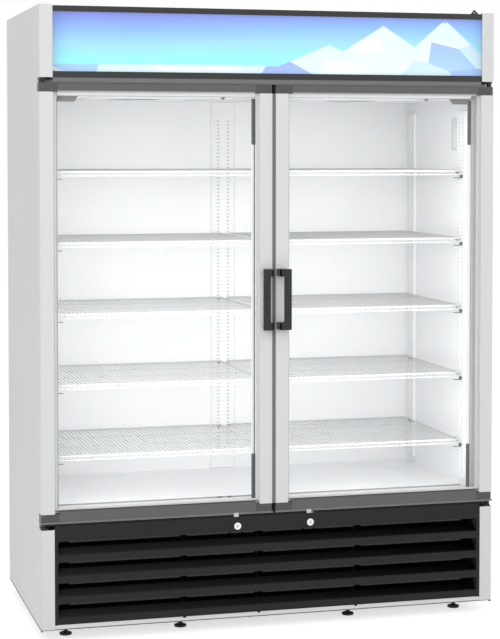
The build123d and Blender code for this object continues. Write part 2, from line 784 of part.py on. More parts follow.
# Condenser fan shroud: a plate with a round mouth behind the coil, and the motor on its bracket
CONDENSER_FAN_X = -200.0
CONDENSER_FAN_Z = sum(CONDENSER_Z) / 2
CONDENSER_FAN_RADIUS = 118.0
CONDENSER_FAN_SETBACK = 28.0
SHROUD_DEPTH = CONDENSER_DEPTHS[1]
SHROUD_WALL = 3.0
MOTOR_SETBACK = 66.0
MOUTH_CLEARANCE = 8.0
BRACKET_WIDTH = 22.0
CONDENSER_MOTOR = (62.0, 72.0)
CONDENSER_MOTOR_LENGTH = 60.0
with BuildPart() as condenser_fan_shroud:
    shroud_plane = Plane(
        origin=(CONDENSER_FAN_X, deep(SHROUD_DEPTH), CONDENSER_FAN_Z),
        x_dir=(1, 0, 0),
        z_dir=(0, 1, 0),
    )
    with BuildSketch(shroud_plane):
        Rectangle(CONDENSER_X[1] - CONDENSER_X[0], CONDENSER_Z[1] - CONDENSER_Z[0])
        Circle(CONDENSER_FAN_RADIUS + MOUTH_CLEARANCE, mode=Mode.SUBTRACT)
    extrude(amount=SHROUD_WALL)
    bracket_half = CONDENSER_FAN_RADIUS + BRACKET_WIDTH
    with BuildSketch(shroud_plane.offset(MOTOR_SETBACK)):
        Rectangle(2 * bracket_half, BRACKET_WIDTH)
    extrude(amount=SHROUD_WALL)
    with BuildSketch(shroud_plane):
        with GridLocations(2 * bracket_half - BRIDGE_WALL, 1, 2, 1):
            Rectangle(BRIDGE_WALL, BRACKET_WIDTH)
    extrude(amount=MOTOR_SETBACK)
    with BuildSketch(shroud_plane.offset(MOTOR_SETBACK)):
        Rectangle(*CONDENSER_MOTOR)
    extrude(amount=CONDENSER_MOTOR_LENGTH)
save(condenser_fan_shroud, "condenser_fan_shroud")

# Condenser fan, turning in the shroud's mouth
CONDENSER_HUB = 28.0
CONDENSER_HUB_FRONT = 14.0
with BuildPart() as condenser_fan:
    fan_wheel(
        shroud_plane.offset(CONDENSER_FAN_SETBACK),
        CONDENSER_FAN_RADIUS,
        CONDENSER_HUB,
        CONDENSER_HUB_FRONT,
        MOTOR_SETBACK - CONDENSER_FAN_SETBACK,
    )
save(condenser_fan, "condenser_fan")


# Condensate pan: a shallow tray with drafted walls
TRAY_X = -440.0
TRAY_DEPTH = 560.0
TRAY = (260.0, 230.0)
TRAY_HEIGHT = 50.0
TRAY_DRAFT = 6.0
TRAY_FLOOR = 3.0
TRAY_WALL = 2.7
with BuildPart() as condensate_pan:
    for level, inset, mode in (
        (GRILLE_BOTTOM, 0, Mode.ADD),
        (GRILLE_BOTTOM + TRAY_FLOOR, TRAY_WALL, Mode.SUBTRACT),
    ):
        with BuildSketch(Plane.XY.offset(level)):
            with Locations((TRAY_X, deep(TRAY_DEPTH))):
                Rectangle(TRAY[0] - 2 * inset, TRAY[1] - 2 * inset)
        extrude(amount=TRAY_HEIGHT, taper=-TRAY_DRAFT, mode=mode)
save(condensate_pan, "condensate_pan")


# Electrical box: a folded box with a lid that overhangs it
BOX_X = (560.0, 720.0)
BOX_DEPTHS = (130.0, 280.0)
BOX_TOP = 290.0
LID_LAP = 3.0
LID_LEVELS = (276.0, 294.0)
RELAY_X = 550.0
RELAY_DEPTHS = (185.0, 225.0)
RELAY_LEVELS = (160.0, 200.0)
with BuildPart() as electrical_box:
    block(BOX_X, BOX_DEPTHS, (GRILLE_BOTTOM, BOX_TOP))
    lid_x = (BOX_X[0] - LID_LAP, BOX_X[1] + LID_LAP)
    lid_depths = (BOX_DEPTHS[0] - LID_LAP, BOX_DEPTHS[1] + LID_LAP)
    block(lid_x, lid_depths, LID_LEVELS)
    block((RELAY_X, BOX_X[0]), RELAY_DEPTHS, RELAY_LEVELS)
save(electrical_box, "electrical_box")


# Refrigerant lines: the discharge pipe to the condenser and the suction pipe up the chase
def pipe(points, radius):
    """A round pipe along straight runs that meet in brazed elbows."""
    with BuildLine(mode=Mode.PRIVATE) as route:
        Polyline(*points)
    first = Vector(*points[0])
    with BuildSketch(Plane(origin=first, z_dir=Vector(*points[1]) - first)) as bore:
        Circle(radius)
    sweep(bore.sketch, path=route.line, transition=Transition.RIGHT)


DISCHARGE_RADIUS = 5.0
DISCHARGE_X = 230.0
SUCTION_RADIUS = 7.0
SUCTION_PORT = 190.0
SUCTION_BACK = 764.0
SUCTION_END = 530.0
shell_side = COMPRESSOR_X - COMPRESSOR_RADIUS
shell_back = COMPRESSOR_DEPTH + COMPRESSOR_RADIUS
with BuildPart() as refrigerant_lines:
    pipe(
        [
            (shell_side, deep(COMPRESSOR_DEPTH), DISCHARGE_LEVEL),
            (DISCHARGE_X, deep(COMPRESSOR_DEPTH), DISCHARGE_LEVEL),
            (DISCHARGE_X, condenser_middle, DISCHARGE_LEVEL),
            (CONDENSER_X[1] + CONDENSER_BEND_REACH, condenser_middle, DISCHARGE_LEVEL),
        ],
        DISCHARGE_RADIUS,
    )
    pipe(
        [
            (COMPRESSOR_X, deep(shell_back), SUCTION_PORT),
            (COMPRESSOR_X, deep(SUCTION_BACK), SUCTION_PORT),
            (COMPRESSOR_X, deep(SUCTION_BACK), SUCTION_LEVEL),
            (COMPRESSOR_X, deep(SUCTION_END), SUCTION_LEVEL),
            (EVAPORATOR_X[1], deep(SUCTION_END), SUCTION_LEVEL),
        ],
        SUCTION_RADIUS,
    )
save(refrigerant_lines, "refrigerant_lines")


# Front grille: a moulded panel of sloping louvres between end cheeks and ribs, with the lock band above
GRILLE_FACE = 2.0
GRILLE_DEPTH = 34.0
GRILLE_HALF = HALF - POST_WIDTH - 1.0
LOUVRE_PITCH = 69.1
LOUVRE_HEIGHT = 28.0
SILL_HEIGHT = 23.3
LOUVRE_COUNT = 3
LOUVRE_RISE = 20.0
LOUVRE_WALL = 2.6
LIP = 5.0
LIP_BEVEL = 4.0
BAND_BOTTOM = 332.0
BAND_DEPTH = 27.0
CHEEK = 11.0
RIB_X = (-311.0, -52.0, 293.0)
RIB_WALL = 3.0
RIB_FOOT = 6.0
RIB_LAP = 10.0


def louvre_section(bottom, height):
    """The section of a louvre: a front face with a bevelled lower lip, and a slope back and up."""
    face = deep(GRILLE_FACE)
    inside = face + LOUVRE_WALL
    top = bottom + height
    with BuildSketch(Plane.YZ.offset(-GRILLE_HALF + 1)) as louvre:
        with BuildLine():
            Polyline(
                (face + LIP_BEVEL, bottom),
                (face, bottom + LIP),
                (face, top),
                (deep(GRILLE_DEPTH), top + LOUVRE_RISE),
                (deep(GRILLE_DEPTH), top + LOUVRE_RISE - LOUVRE_WALL),
                (inside, top - LOUVRE_WALL),
                (inside, bottom + LIP),
                (face + LIP_BEVEL + LOUVRE_WALL, bottom + 1),
                close=True,
            )
        make_face()
    extrude(louvre.sketch, amount=2 * GRILLE_HALF - 2)


with BuildPart() as front_grille:
    for number in range(1, LOUVRE_COUNT + 1):
        louvre_section(BAND_BOTTOM - number * LOUVRE_PITCH, LOUVRE_HEIGHT)
    louvre_section(GRILLE_BOTTOM, SILL_HEIGHT)
    with BuildSketch(Plane.YZ.offset(-GRILLE_HALF)):
        with BuildLine():
            Polyline(
                (deep(GRILLE_FACE) + LIP_BEVEL, BAND_BOTTOM),
                (deep(GRILLE_FACE), BAND_BOTTOM + LIP),
                (deep(GRILLE_FACE), GRILLE_TOP),
                (deep(BAND_DEPTH), GRILLE_TOP),
                (deep(BAND_DEPTH), GRILLE_TOP - LOUVRE_WALL),
                (deep(GRILLE_FACE) + LOUVRE_WALL, GRILLE_TOP - LOUVRE_WALL),
                (deep(GRILLE_FACE) + LOUVRE_WALL, BAND_BOTTOM + LIP),
                (deep(GRILLE_FACE) + LIP_BEVEL + LOUVRE_WALL, BAND_BOTTOM + 1),
                close=True,
            )
        make_face()
    extrude(amount=2 * GRILLE_HALF)
    for sign in (-1, 1):
        cheek_x = (sign * (GRILLE_HALF - LOUVRE_WALL), sign * GRILLE_HALF)
        block(cheek_x, (GRILLE_FACE, BAND_DEPTH), (GRILLE_BOTTOM, GRILLE_TOP))
        border_x = (sign * (GRILLE_HALF - CHEEK), sign * GRILLE_HALF)
        block(border_x, (GRILLE_FACE, GRILLE_FACE + LOUVRE_WALL), (GRILLE_BOTTOM, GRILLE_TOP))
    for x in RIB_X:
        rib_x = (x - RIB_WALL / 2, x + RIB_WALL / 2)
        rib_z = (GRILLE_BOTTOM + RIB_FOOT, BAND_BOTTOM + RIB_LAP)
        block(rib_x, (GRILLE_FACE + LOUVRE_WALL, GRILLE_DEPTH), rib_z)
    with BuildSketch(Plane.XZ.offset(-deep(GRILLE_FACE) + OVERCUT)):
        with Locations((-LOCK_X, LOCK_Z), (LOCK_X, LOCK_Z)):
            Circle(LOCK_RADIUS + SHAFT_CLEARANCE)
    extrude(amount=-(LOUVRE_WALL + 2 * OVERCUT), mode=Mode.SUBTRACT)
save(front_grille, "front_grille")


# Cam locks: a key cylinder through the grille's band, with a cam behind it
for side, sign in (("left", -1), ("right", 1)):
    with BuildPart() as lock:
        lock_middle = (sign * LOCK_X, deep(GRILLE_FACE), LOCK_Z)
        lock_plane = Plane(origin=lock_middle, x_dir=(1, 0, 0), z_dir=(0, 1, 0))
        with BuildSketch(lock_plane.offset(-LOCK_PROUD)):
            Circle(LOCK_RADIUS)
        extrude(amount=CAM_FRONT - GRILLE_FACE + LOCK_PROUD)
        with BuildSketch(lock_plane.offset(-LOCK_PROUD)):
            Rectangle(*KEYWAY)
        extrude(amount=KEYWAY_DEPTH, mode=Mode.SUBTRACT)
        with BuildSketch(lock_plane.offset(CAM_FRONT - GRILLE_FACE)) as cam:
            with Locations((-sign * (CAM_REACH - CAM_TAIL) / 2, 0)):
                Rectangle(CAM_REACH + CAM_TAIL, CAM_WIDTH)
            chamfer(cam.vertices(), length=CAM_CORNER)
        extrude(amount=CAM_THICKNESS)
    save(lock, f"lock_{side}")


# Header: two dark bars that hold the sign between the upper posts, and a small catch on the top bar
BAR_FACE = 1.0
GROOVE = (5.0, 9.0)
GROOVE_DEPTH = 4.0
BAR_BACK = 12.0
BAR_HEEL = 8.0
CATCH_FRONT = 4.0
CATCH_THICKNESS = 6.0
CATCH_X = (708.0, 720.0, 736.0)
CATCH_HEIGHT = 15.0
CATCH_HOLE = (721.0, 5.0)
CATCH_HOLE_RADIUS = 3.0
with BuildPart() as header_frame:
    for low, high, lip in ((HEADER_BOTTOM, SIGN_BOTTOM, -1), (SIGN_TOP, HEADER_TOP, 1)):
        seat = high if lip < 0 else low
        inner = seat + lip * GROOVE_DEPTH
        back_edge = low if lip < 0 else high
        with BuildSketch(Plane.YZ.offset(-GRILLE_HALF)):
            with BuildLine():
                Polyline(
                    (deep(BAR_FACE), back_edge),
                    (deep(BAR_FACE), seat),
                    (deep(GROOVE[0]), seat),
                    (deep(GROOVE[0]), inner),
                    (deep(GROOVE[1]), inner),
                    (deep(GROOVE[1]), seat),
                    (deep(BAR_BACK), seat),
                    (deep(HEADER_BAR_DEPTH), back_edge - lip * BAR_HEEL),
                    (deep(HEADER_BAR_DEPTH), back_edge),
                    close=True,
                )
            make_face()
        extrude(amount=2 * GRILLE_HALF)
    with BuildSketch(Plane.XZ.offset(-deep(CATCH_FRONT))):
        with BuildLine():
            Polyline(
                (CATCH_X[0], HEADER_TOP),
                (CATCH_X[1], HEADER_TOP + CATCH_HEIGHT),
                (CATCH_X[2], HEADER_TOP),
                close=True,
            )
        make_face()
        with Locations((CATCH_HOLE[0], HEADER_TOP + CATCH_HOLE[1])):
            RegularPolygon(CATCH_HOLE_RADIUS, 6, mode=Mode.SUBTRACT)
    extrude(amount=-CATCH_THICKNESS)
save(header_frame, "header_frame")

# Sign panel: a plain translucent sheet in the header bars' grooves
SIGN_DEPTHS = (5.5, 8.5)
SIGN_CLEARANCE = 0.5
with BuildPart() as sign_panel:
    sign_levels = (SIGN_BOTTOM - GROOVE_DEPTH, SIGN_TOP + GROOVE_DEPTH - SIGN_CLEARANCE)
    block((1 - GRILLE_HALF, GRILLE_HALF - 1), SIGN_DEPTHS, sign_levels)
save(sign_panel, "sign_panel")

# Header lamp: a light bar in the tray that closes the header behind the sign
TRAY_SHEET = 2.0
TRAY_LIP = 3.0
TRAY_CLEARANCE = 2.0
LIGHT_BAR = (26.0, 20.0)
LIGHT_BAR_HALF = 660.0
LIGHT_BAR_INSET = 14.0
with BuildPart() as header_lamp:
    tray_top = HEADER_TOP - SHEET
    lip_bottom = HEADER_TOP - TRAY_LIP
    with BuildSketch(Plane.YZ.offset(TRAY_CLEARANCE - GRILLE_HALF)):
        with BuildLine():
            Polyline(
                (deep(HEADER_BAR_DEPTH), HEADER_BOTTOM),
                (deep(HEADER_DEPTH), HEADER_BOTTOM),
                (deep(HEADER_DEPTH), tray_top),
                (deep(HEADER_BAR_DEPTH), tray_top),
                (deep(HEADER_BAR_DEPTH), lip_bottom),
                (deep(HEADER_DEPTH - TRAY_SHEET), lip_bottom),
                (deep(HEADER_DEPTH - TRAY_SHEET), HEADER_BOTTOM + TRAY_SHEET),
                (deep(HEADER_BAR_DEPTH), HEADER_BOTTOM + TRAY_SHEET),
                close=True,
            )
        make_face()
    extrude(amount=2 * (GRILLE_HALF - TRAY_CLEARANCE))
    with BuildSketch(Plane.YZ.offset(-LIGHT_BAR_HALF)):
        with Locations((deep(HEADER_DEPTH - LIGHT_BAR_INSET), (HEADER_BOTTOM + HEADER_TOP) / 2)):
            SlotOverall(*LIGHT_BAR)
    extrude(amount=2 * LIGHT_BAR_HALF)
save(header_lamp, "header_lamp")

# Header trim: the strip that closes the gap over the doors
TRIM_BOTTOM = DOOR_TOP + 1.5
TRIM_TOP_DEPTHS = (4.0, 6.2)
TRIM_BOTTOM_DEPTHS = (5.0, 7.0)
TRIM_SHELF = 2.0
with BuildPart() as header_trim:
    with BuildSketch(Plane.YZ.offset(-GRILLE_HALF)):
        with BuildLine():
            Polyline(
                (deep(TRIM_BOTTOM_DEPTHS[0]), TRIM_BOTTOM),
                (deep(TRIM_TOP_DEPTHS[0]), HEADER_BOTTOM),
                (deep(FRAME_DEPTH), HEADER_BOTTOM),
                (deep(FRAME_DEPTH), HEADER_BOTTOM - TRIM_SHELF),
                (deep(TRIM_TOP_DEPTHS[1]), HEADER_BOTTOM - TRIM_SHELF),
                (deep(TRIM_BOTTOM_DEPTHS[1]), TRIM_BOTTOM),
                close=True,
            )
        make_face()
    extrude(amount=2 * GRILLE_HALF)
save(header_trim, "header_trim")


# Hinge brackets: a plate above and below each outer door corner, with its pin and a hexagonal collar
BRACKET_THICKNESS = 6.0
BRACKET_INSETS = (3.0, 7.0, 22.0, 38.0, 42.0)
BRACKET_DEPTHS = (6.0, 10.0, 24.0)
COLLAR_RADIUS = 9.0
COLLAR_CLEARANCE = 0.5
with BuildPart() as hinge_brackets:
    for sign in (-1, 1):
        pin = (sign * (HALF - PIN_INSET), deep(PIN_DEPTH))
        for plate_bottom, toward in ((HEADER_BOTTOM - BRACKET_THICKNESS, -1), (LOWER_POST_TOP, 1)):
            with BuildSketch(Plane.XY.offset(plate_bottom)):
                with BuildLine():
                    Polyline(
                        (sign * (HALF - BRACKET_INSETS[0]), deep(FRAME_DEPTH)),
                        (sign * (HALF - BRACKET_INSETS[0]), deep(BRACKET_DEPTHS[1])),
                        (sign * (HALF - BRACKET_INSETS[1]), deep(BRACKET_DEPTHS[0])),
                        (sign * (HALF - BRACKET_INSETS[2]), deep(BRACKET_DEPTHS[0])),
                        (sign * (HALF - BRACKET_INSETS[3]), deep(BRACKET_DEPTHS[2])),
                        (sign * (HALF - BRACKET_INSETS[4]), deep(FRAME_DEPTH)),
                        close=True,
                    )
                make_face()
            extrude(amount=BRACKET_THICKNESS)
            collar_start = plate_bottom if toward < 0 else plate_bottom + BRACKET_THICKNESS
            collar_end = DOOR_TOP + COLLAR_CLEARANCE if toward < 0 else DOOR_BOTTOM - COLLAR_CLEARANCE
            with BuildSketch(Plane.XY.offset(min(collar_start, collar_end))):
                with Locations(pin):
                    RegularPolygon(COLLAR_RADIUS, 6)
            extrude(amount=abs(collar_end - collar_start))
            pin_tip = collar_end + toward * PIN_LENGTH
            with BuildSketch(Plane.XY.offset(min(collar_end, pin_tip))):
                with Locations(pin):
                    Circle(PIN_RADIUS)
            extrude(amount=PIN_LENGTH)
save(hinge_brackets, "hinge_brackets")


# Doors: each is two stiles, two rails, four corner caps, double glazing, a gasket and a handle
def gasket_ring(inner_x, outer_x, mode=Mode.ADD, slack=0.0):
    """The gasket's ring, or with some slack the groove that it sits in."""
    near = inner_x + math.copysign(GASKET_INSET, outer_x)
    far = outer_x - math.copysign(GASKET_INSET, outer_x)
    low = DOOR_BOTTOM + GASKET_INSET
    high = DOOR_TOP - GASKET_INSET
    with BuildSketch(Plane.XZ.offset(-deep(GASKET_FRONT))) as ring:
        with Locations(((near + far) / 2, (low + high) / 2)):
            Rectangle(abs(far - near) + 2 * slack, high - low + 2 * slack)
            Rectangle(
                abs(far - near) - 2 * GASKET_WIDTH - 2 * slack,
                high - low - 2 * GASKET_WIDTH - 2 * slack,
                mode=Mode.SUBTRACT,
            )
    extrude(ring.sketch, amount=GASKET_FRONT - GASKET_BACK, mode=mode)


def stile(edge_x, inward):
    """A hollow upright extrusion from a door edge inward, with a rebate for the glass."""
    low = DOOR_BOTTOM + BOTTOM_CAP_HEIGHT
    high = DOOR_TOP - TOP_CAP_HEIGHT
    inner_x = edge_x + inward * STILE_WIDTH
    with BuildSketch(Plane.XY.offset(low)) as section:
        with BuildLine():
            Polyline(
                (edge_x, deep(0)),
                (inner_x, deep(0)),
                (inner_x, deep(GLASS_FRONT)),
                (inner_x - inward * GLASS_BITE, deep(GLASS_FRONT)),
                (inner_x - inward * GLASS_BITE, deep(GLASS_BACK)),
                (inner_x, deep(GLASS_BACK)),
                (inner_x, deep(DOOR_THICKNESS)),
                (edge_x, deep(DOOR_THICKNESS)),
                close=True,
            )
        make_face()
        for x, radius in ((edge_x, DOOR_EDGE_RADIUS), (inner_x, DOOR_EDGE_RADIUS / 2)):
            fillet(section.vertices().sort_by_distance((x, deep(0), low))[0], radius=radius)
        chamber_x = (edge_x + inner_x - inward * GLASS_BITE) / 2
        with Locations((chamber_x, deep(CHAMBER_FRONT + CHAMBER_DEPTH / 2))):
            Rectangle(STILE_WIDTH - GLASS_BITE - 4 * WALL, CHAMBER_DEPTH, mode=Mode.SUBTRACT)
    extrude(section.sketch, amount=high - low)


def rail(x_range, outer_z, inner_z):
    """A hollow level extrusion from a door edge inward, with a rebate for the glass."""
    inward = 1 if inner_z > outer_z else -1
    face_edge = outer_z + inward * RAIL_BEVEL
    bite = inner_z - inward * GLASS_BITE
    chamber = (outer_z + inward * 2 * WALL, bite - inward * 2 * WALL)
    with BuildSketch(Plane.YZ.offset(min(x_range))) as section:
        with BuildLine():
            Polyline(
                (deep(RAIL_SETBACK), outer_z),
                (deep(0), face_edge),
                (deep(0), inner_z),
                (deep(GLASS_FRONT), inner_z),
                (deep(GLASS_FRONT), bite),
                (deep(GLASS_BACK), bite),
                (deep(GLASS_BACK), inner_z),
                (deep(DOOR_THICKNESS), inner_z),
                (deep(DOOR_THICKNESS), outer_z),
                close=True,
            )
        make_face()
        with Locations((deep(CHAMBER_FRONT + CHAMBER_DEPTH / 2), sum(chamber) / 2)):
            Rectangle(CHAMBER_DEPTH, abs(chamber[1] - chamber[0]), mode=Mode.SUBTRACT)
    extrude(section.sketch, amount=abs(x_range[1] - x_range[0]))


for side, sign in (("left", -1), ("right", 1)):
    outer_x = sign * HALF
    inner_x = sign * DOOR_GAP / 2
    glass_x = (inner_x + sign * (STILE_WIDTH - GLASS_BITE), outer_x - sign * (STILE_WIDTH - GLASS_BITE))
    glass_z = (DOOR_BOTTOM + BOTTOM_RAIL_HEIGHT - GLASS_BITE, DOOR_TOP - TOP_RAIL_HEIGHT + GLASS_BITE)
    rail_x = (inner_x + sign * CAP_WIDTH, outer_x - sign * CAP_WIDTH)

    with BuildPart() as door_stiles:
        stile(outer_x, -sign)
        stile(inner_x, sign)
        gasket_ring(inner_x, outer_x, mode=Mode.SUBTRACT, slack=GROOVE_SLACK)
    save(door_stiles, f"door_{side}_stiles")

    with BuildPart() as door_rails:
        rail(rail_x, DOOR_TOP, DOOR_TOP - TOP_RAIL_HEIGHT)
        rail(rail_x, DOOR_BOTTOM, DOOR_BOTTOM + BOTTOM_RAIL_HEIGHT)
        gasket_ring(inner_x, outer_x, mode=Mode.SUBTRACT, slack=GROOVE_SLACK)
        block(
            [sign * (LOCK_X + offset) for offset in CAM_SLOT],
            (CAM_FRONT - CAM_CLEARANCE, CAM_FRONT + CAM_THICKNESS + CAM_CLEARANCE),
            (DOOR_BOTTOM, DOOR_BOTTOM + CAM_SLOT_HEIGHT),
            mode=Mode.SUBTRACT,
        )
        tab_x = [sign * (LOCK_X + offset) for offset in TAB]
        block(tab_x, (-TAB_SHEET, 0), (DOOR_BOTTOM - TAB_DROP, DOOR_BOTTOM + TAB_RISE))
        block(tab_x, (-TAB_SHEET, TAB_DEPTH), (DOOR_BOTTOM - TAB_SHEET, DOOR_BOTTOM))
    save(door_rails, f"door_{side}_rails")

    with BuildPart() as door_corner_caps:
        for low, high in (
            (DOOR_BOTTOM, DOOR_BOTTOM + BOTTOM_CAP_HEIGHT),
            (DOOR_TOP - TOP_CAP_HEIGHT, DOOR_TOP),
        ):
            for edge, inward in ((outer_x, -sign), (inner_x, sign)):
                with BuildSketch(Plane.XY.offset(low)) as cap:
                    with Locations((edge + inward * CAP_WIDTH / 2, deep(DOOR_THICKNESS / 2))):
                        Rectangle(CAP_WIDTH, DOOR_THICKNESS)
                    corner = cap.vertices().sort_by_distance((edge, deep(0), low))[0]
                    fillet(corner, radius=CAP_RADIUS)
                extrude(amount=high - low)
        block(glass_x, (GLASS_FRONT, GLASS_BACK), glass_z, mode=Mode.SUBTRACT)
        gasket_ring(inner_x, outer_x, mode=Mode.SUBTRACT, slack=GROOVE_SLACK)
        pin_spot = (sign * (HALF - PIN_INSET), deep(PIN_DEPTH))
        for plane_z in (DOOR_BOTTOM, DOOR_TOP - BORE_LENGTH):
            with BuildSketch(Plane.XY.offset(plane_z)):
                with Locations(pin_spot):
                    Circle(PIN_RADIUS + SHAFT_CLEARANCE)
            extrude(amount=BORE_LENGTH, mode=Mode.SUBTRACT)
    save(door_corner_caps, f"door_{side}_corner_caps")

    with BuildPart() as door_glass:
        block(glass_x, (GLASS_FRONT, GLASS_FRONT + PANE), glass_z)
        block(glass_x, (GLASS_BACK - PANE, GLASS_BACK), glass_z)
    save(door_glass, f"door_{side}_glass")

    with BuildPart() as door_spacer:
        spacer_width = abs(glass_x[1] - glass_x[0]) - 2 * SPACER_INSET
        spacer_height = glass_z[1] - glass_z[0] - 2 * SPACER_INSET
        with BuildSketch(Plane.XZ.offset(-deep(GLASS_FRONT + PANE))):
            with Locations((sum(glass_x) / 2, sum(glass_z) / 2)):
                Rectangle(spacer_width, spacer_height)
                Rectangle(
                    spacer_width - 2 * SPACER_WIDTH,
                    spacer_height - 2 * SPACER_WIDTH,
                    mode=Mode.SUBTRACT,
                )
        extrude(amount=-(GLASS_BACK - GLASS_FRONT - 2 * PANE))
    save(door_spacer, f"door_{side}_spacer")

    with BuildPart() as door_gasket:
        gasket_ring(inner_x, outer_x)
    save(door_gasket, f"door_{side}_gasket")

    with BuildPart() as door_handle:
        with BuildSketch(Plane.XZ.offset(-deep(-HANDLE_REACH))) as outline:
            with BuildLine():
                Polyline(
                    (sign * HANDLE_NEAR, HANDLE_BOTTOM),
                    (sign * HANDLE_FAR, HANDLE_BOTTOM),
                    (sign * HANDLE_FAR, HANDLE_TOP),
                    (sign * HANDLE_NEAR, HANDLE_TOP),
                    (sign * HANDLE_NEAR, HANDLE_TOP - HANDLE_LEG),
                    (sign * HANDLE_BAR_NEAR, HANDLE_TOP - HANDLE_LEG),
                    (sign * HANDLE_BAR_NEAR, HANDLE_BOTTOM + HANDLE_LEG),
                    (sign * HANDLE_NEAR, HANDLE_BOTTOM + HANDLE_LEG),
                    close=True,
                )
            make_face()
            far_corners = outline.vertices().filter_by(lambda corner: abs(corner.X) > HANDLE_SEAT)
            fillet(far_corners, radius=HANDLE_CORNER)
        extrude(amount=-HANDLE_REACH)
        behind_bar = (HANDLE_BAR - HANDLE_REACH, OVERCUT)
        finger_space = (HANDLE_BOTTOM + HANDLE_LEG, HANDLE_TOP - HANDLE_LEG)
        whole_x = (sign * (HANDLE_NEAR - OVERCUT), sign * (HANDLE_FAR + OVERCUT))
        beyond_legs = (sign * HANDLE_SEAT, sign * (HANDLE_FAR + OVERCUT))
        whole_height = (HANDLE_BOTTOM - OVERCUT, HANDLE_TOP + OVERCUT)
        block(whole_x, behind_bar, finger_space, mode=Mode.SUBTRACT)
        block(beyond_legs, behind_bar, whole_height, mode=Mode.SUBTRACT)
        front_face = door_handle.faces().sort_by(Axis.Y)[0]
        leg_ends = front_face.edges().filter_by(Axis.Z).filter_by_position(
            Axis.X, *sorted((sign * HANDLE_NEAR - 1, sign * HANDLE_NEAR + 1))
        )
        chamfer(leg_ends, length=HANDLE_END_BEVEL)
        front_face = door_handle.faces().sort_by(Axis.Y)[0]
        chamfer(front_face.edges(), length=HANDLE_BEVEL)
    save(door_handle, f"door_{side}_handle")
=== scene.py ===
import json
import math

import bpy
import numpy as np
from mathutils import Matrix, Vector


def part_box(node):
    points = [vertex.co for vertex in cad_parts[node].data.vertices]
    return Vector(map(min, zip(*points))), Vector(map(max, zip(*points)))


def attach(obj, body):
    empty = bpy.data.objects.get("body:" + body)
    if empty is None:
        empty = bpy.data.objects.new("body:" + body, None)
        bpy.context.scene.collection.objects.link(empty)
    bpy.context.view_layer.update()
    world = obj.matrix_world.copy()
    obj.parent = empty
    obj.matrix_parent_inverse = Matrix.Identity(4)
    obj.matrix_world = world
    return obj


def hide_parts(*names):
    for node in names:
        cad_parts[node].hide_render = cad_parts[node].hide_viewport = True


bl_info = {
    "name": "Glass door merchandiser",
    "version": (1, 0, 0),
    "blender": (4, 5, 0),
    "location": "View3D > Sidebar > Merchandiser",
    "description": "Dresses a two-door display refrigerator and sets it on a pale studio floor",
    "category": "Object",
}

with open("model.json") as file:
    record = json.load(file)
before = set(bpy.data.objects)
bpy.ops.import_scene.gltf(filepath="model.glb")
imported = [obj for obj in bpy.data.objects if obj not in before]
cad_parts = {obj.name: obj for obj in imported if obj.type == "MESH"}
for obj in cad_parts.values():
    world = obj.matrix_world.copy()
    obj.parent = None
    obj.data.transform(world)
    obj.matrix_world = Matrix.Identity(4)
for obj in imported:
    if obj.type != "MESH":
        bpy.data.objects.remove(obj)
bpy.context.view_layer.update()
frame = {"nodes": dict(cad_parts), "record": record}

# Shapes are worked out in millimetres: x from the middle, depth behind the door face, and height.
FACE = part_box("door_left_stiles")[0].y * 1000


def cad_range(node):
    """The x, depth and height ranges of a solid, in millimetres."""
    low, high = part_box(node)
    return (
        (low.x * 1000, high.x * 1000),
        (low.y * 1000 - FACE, high.y * 1000 - FACE),
        (low.z * 1000, high.z * 1000),
    )


SIDES = (("left", -1), ("right", 1))
TIERS = range(1, 6)
SHELF_TOPS = [cad_range(f"shelf_left_{tier}")[2][1] for tier in TIERS]
HALF = cad_range("side_panel_right")[0][1]

# The points of a rounded corner.
ARC_POINTS = 5

# The inner faces of the side walls and of the rear wall, and the width of a front post.
WALL = cad_range("inner_liner")[0][1] - 1.5
REAR = 700.0
POST = 43.0

# The lower edge of the grille's lock band, the width of its cheeks, its ribs, and the locks.
BAND = 332.0
CHEEK = 11.0
RIBS = (-311.0, -52.0, 293.0)
LOCK_X = 128.0

# The fans over the ceiling, and the right-hand ends of the two coils.
FAN_X = 400.0
FAN_DEPTH = 400.0
EVAPORATOR_END = 230.0
CONDENSER_END = 30.0


# Shapes


class Shape:
    """Points in millimetres, and faces as whole arrays of corner numbers, one array for each corner count."""

    def __init__(self, points, faces):
        self.points = np.asarray(points, float)
        self.faces = [np.asarray(part, int) for part in faces]

    def __add__(self, other):
        shifted = [part + len(self.points) for part in other.faces]
        return Shape(np.vstack((self.points, other.points)), self.faces + shifted)

    def at(self, offsets):
        """Copies of the shape: each point plus each offset, all at once."""
        offsets = np.asarray(offsets, float).reshape(-1, 3)
        points = (self.points[None] + offsets[:, None]).reshape(-1, 3)
        steps = np.arange(len(offsets)) * len(self.points)
        faces = [(part[None] + steps[:, None, None]).reshape(-1, part.shape[1]) for part in self.faces]
        return Shape(points, faces)

    def mirrored(self):
        """The shape with x reversed and each face's corners in the other order."""
        return Shape(self.points * (-1, 1, 1), [part[:, ::-1] for part in self.faces])

    def doubled(self):
        """The shape and its mirror image, as one."""
        return self + self.mirrored()

    def laid_back(self):
        """The shape turned a quarter about x, so that its upper side faces the rear."""
        return Shape(self.points[:, (0, 2, 1)] * (1, 1, -1), self.faces)

    def outward(self):
        """The closed shape with its faces turned round if the volume they enclose comes out negative."""
        volume = 0.0
        for part in self.faces:
            corners = self.points[part]
            for turn in range(1, part.shape[1] - 1):
                pair = np.cross(corners[:, turn], corners[:, turn + 1])
                volume += float(np.einsum("ij,ij->", corners[:, 0], pair))
        return self if volume > 0 else Shape(self.points, [part[:, ::-1] for part in self.faces])


def joined(shapes):
    """Several shapes as one."""
    total = shapes[0]
    for shape in shapes[1:]:
        total = total + shape
    return total


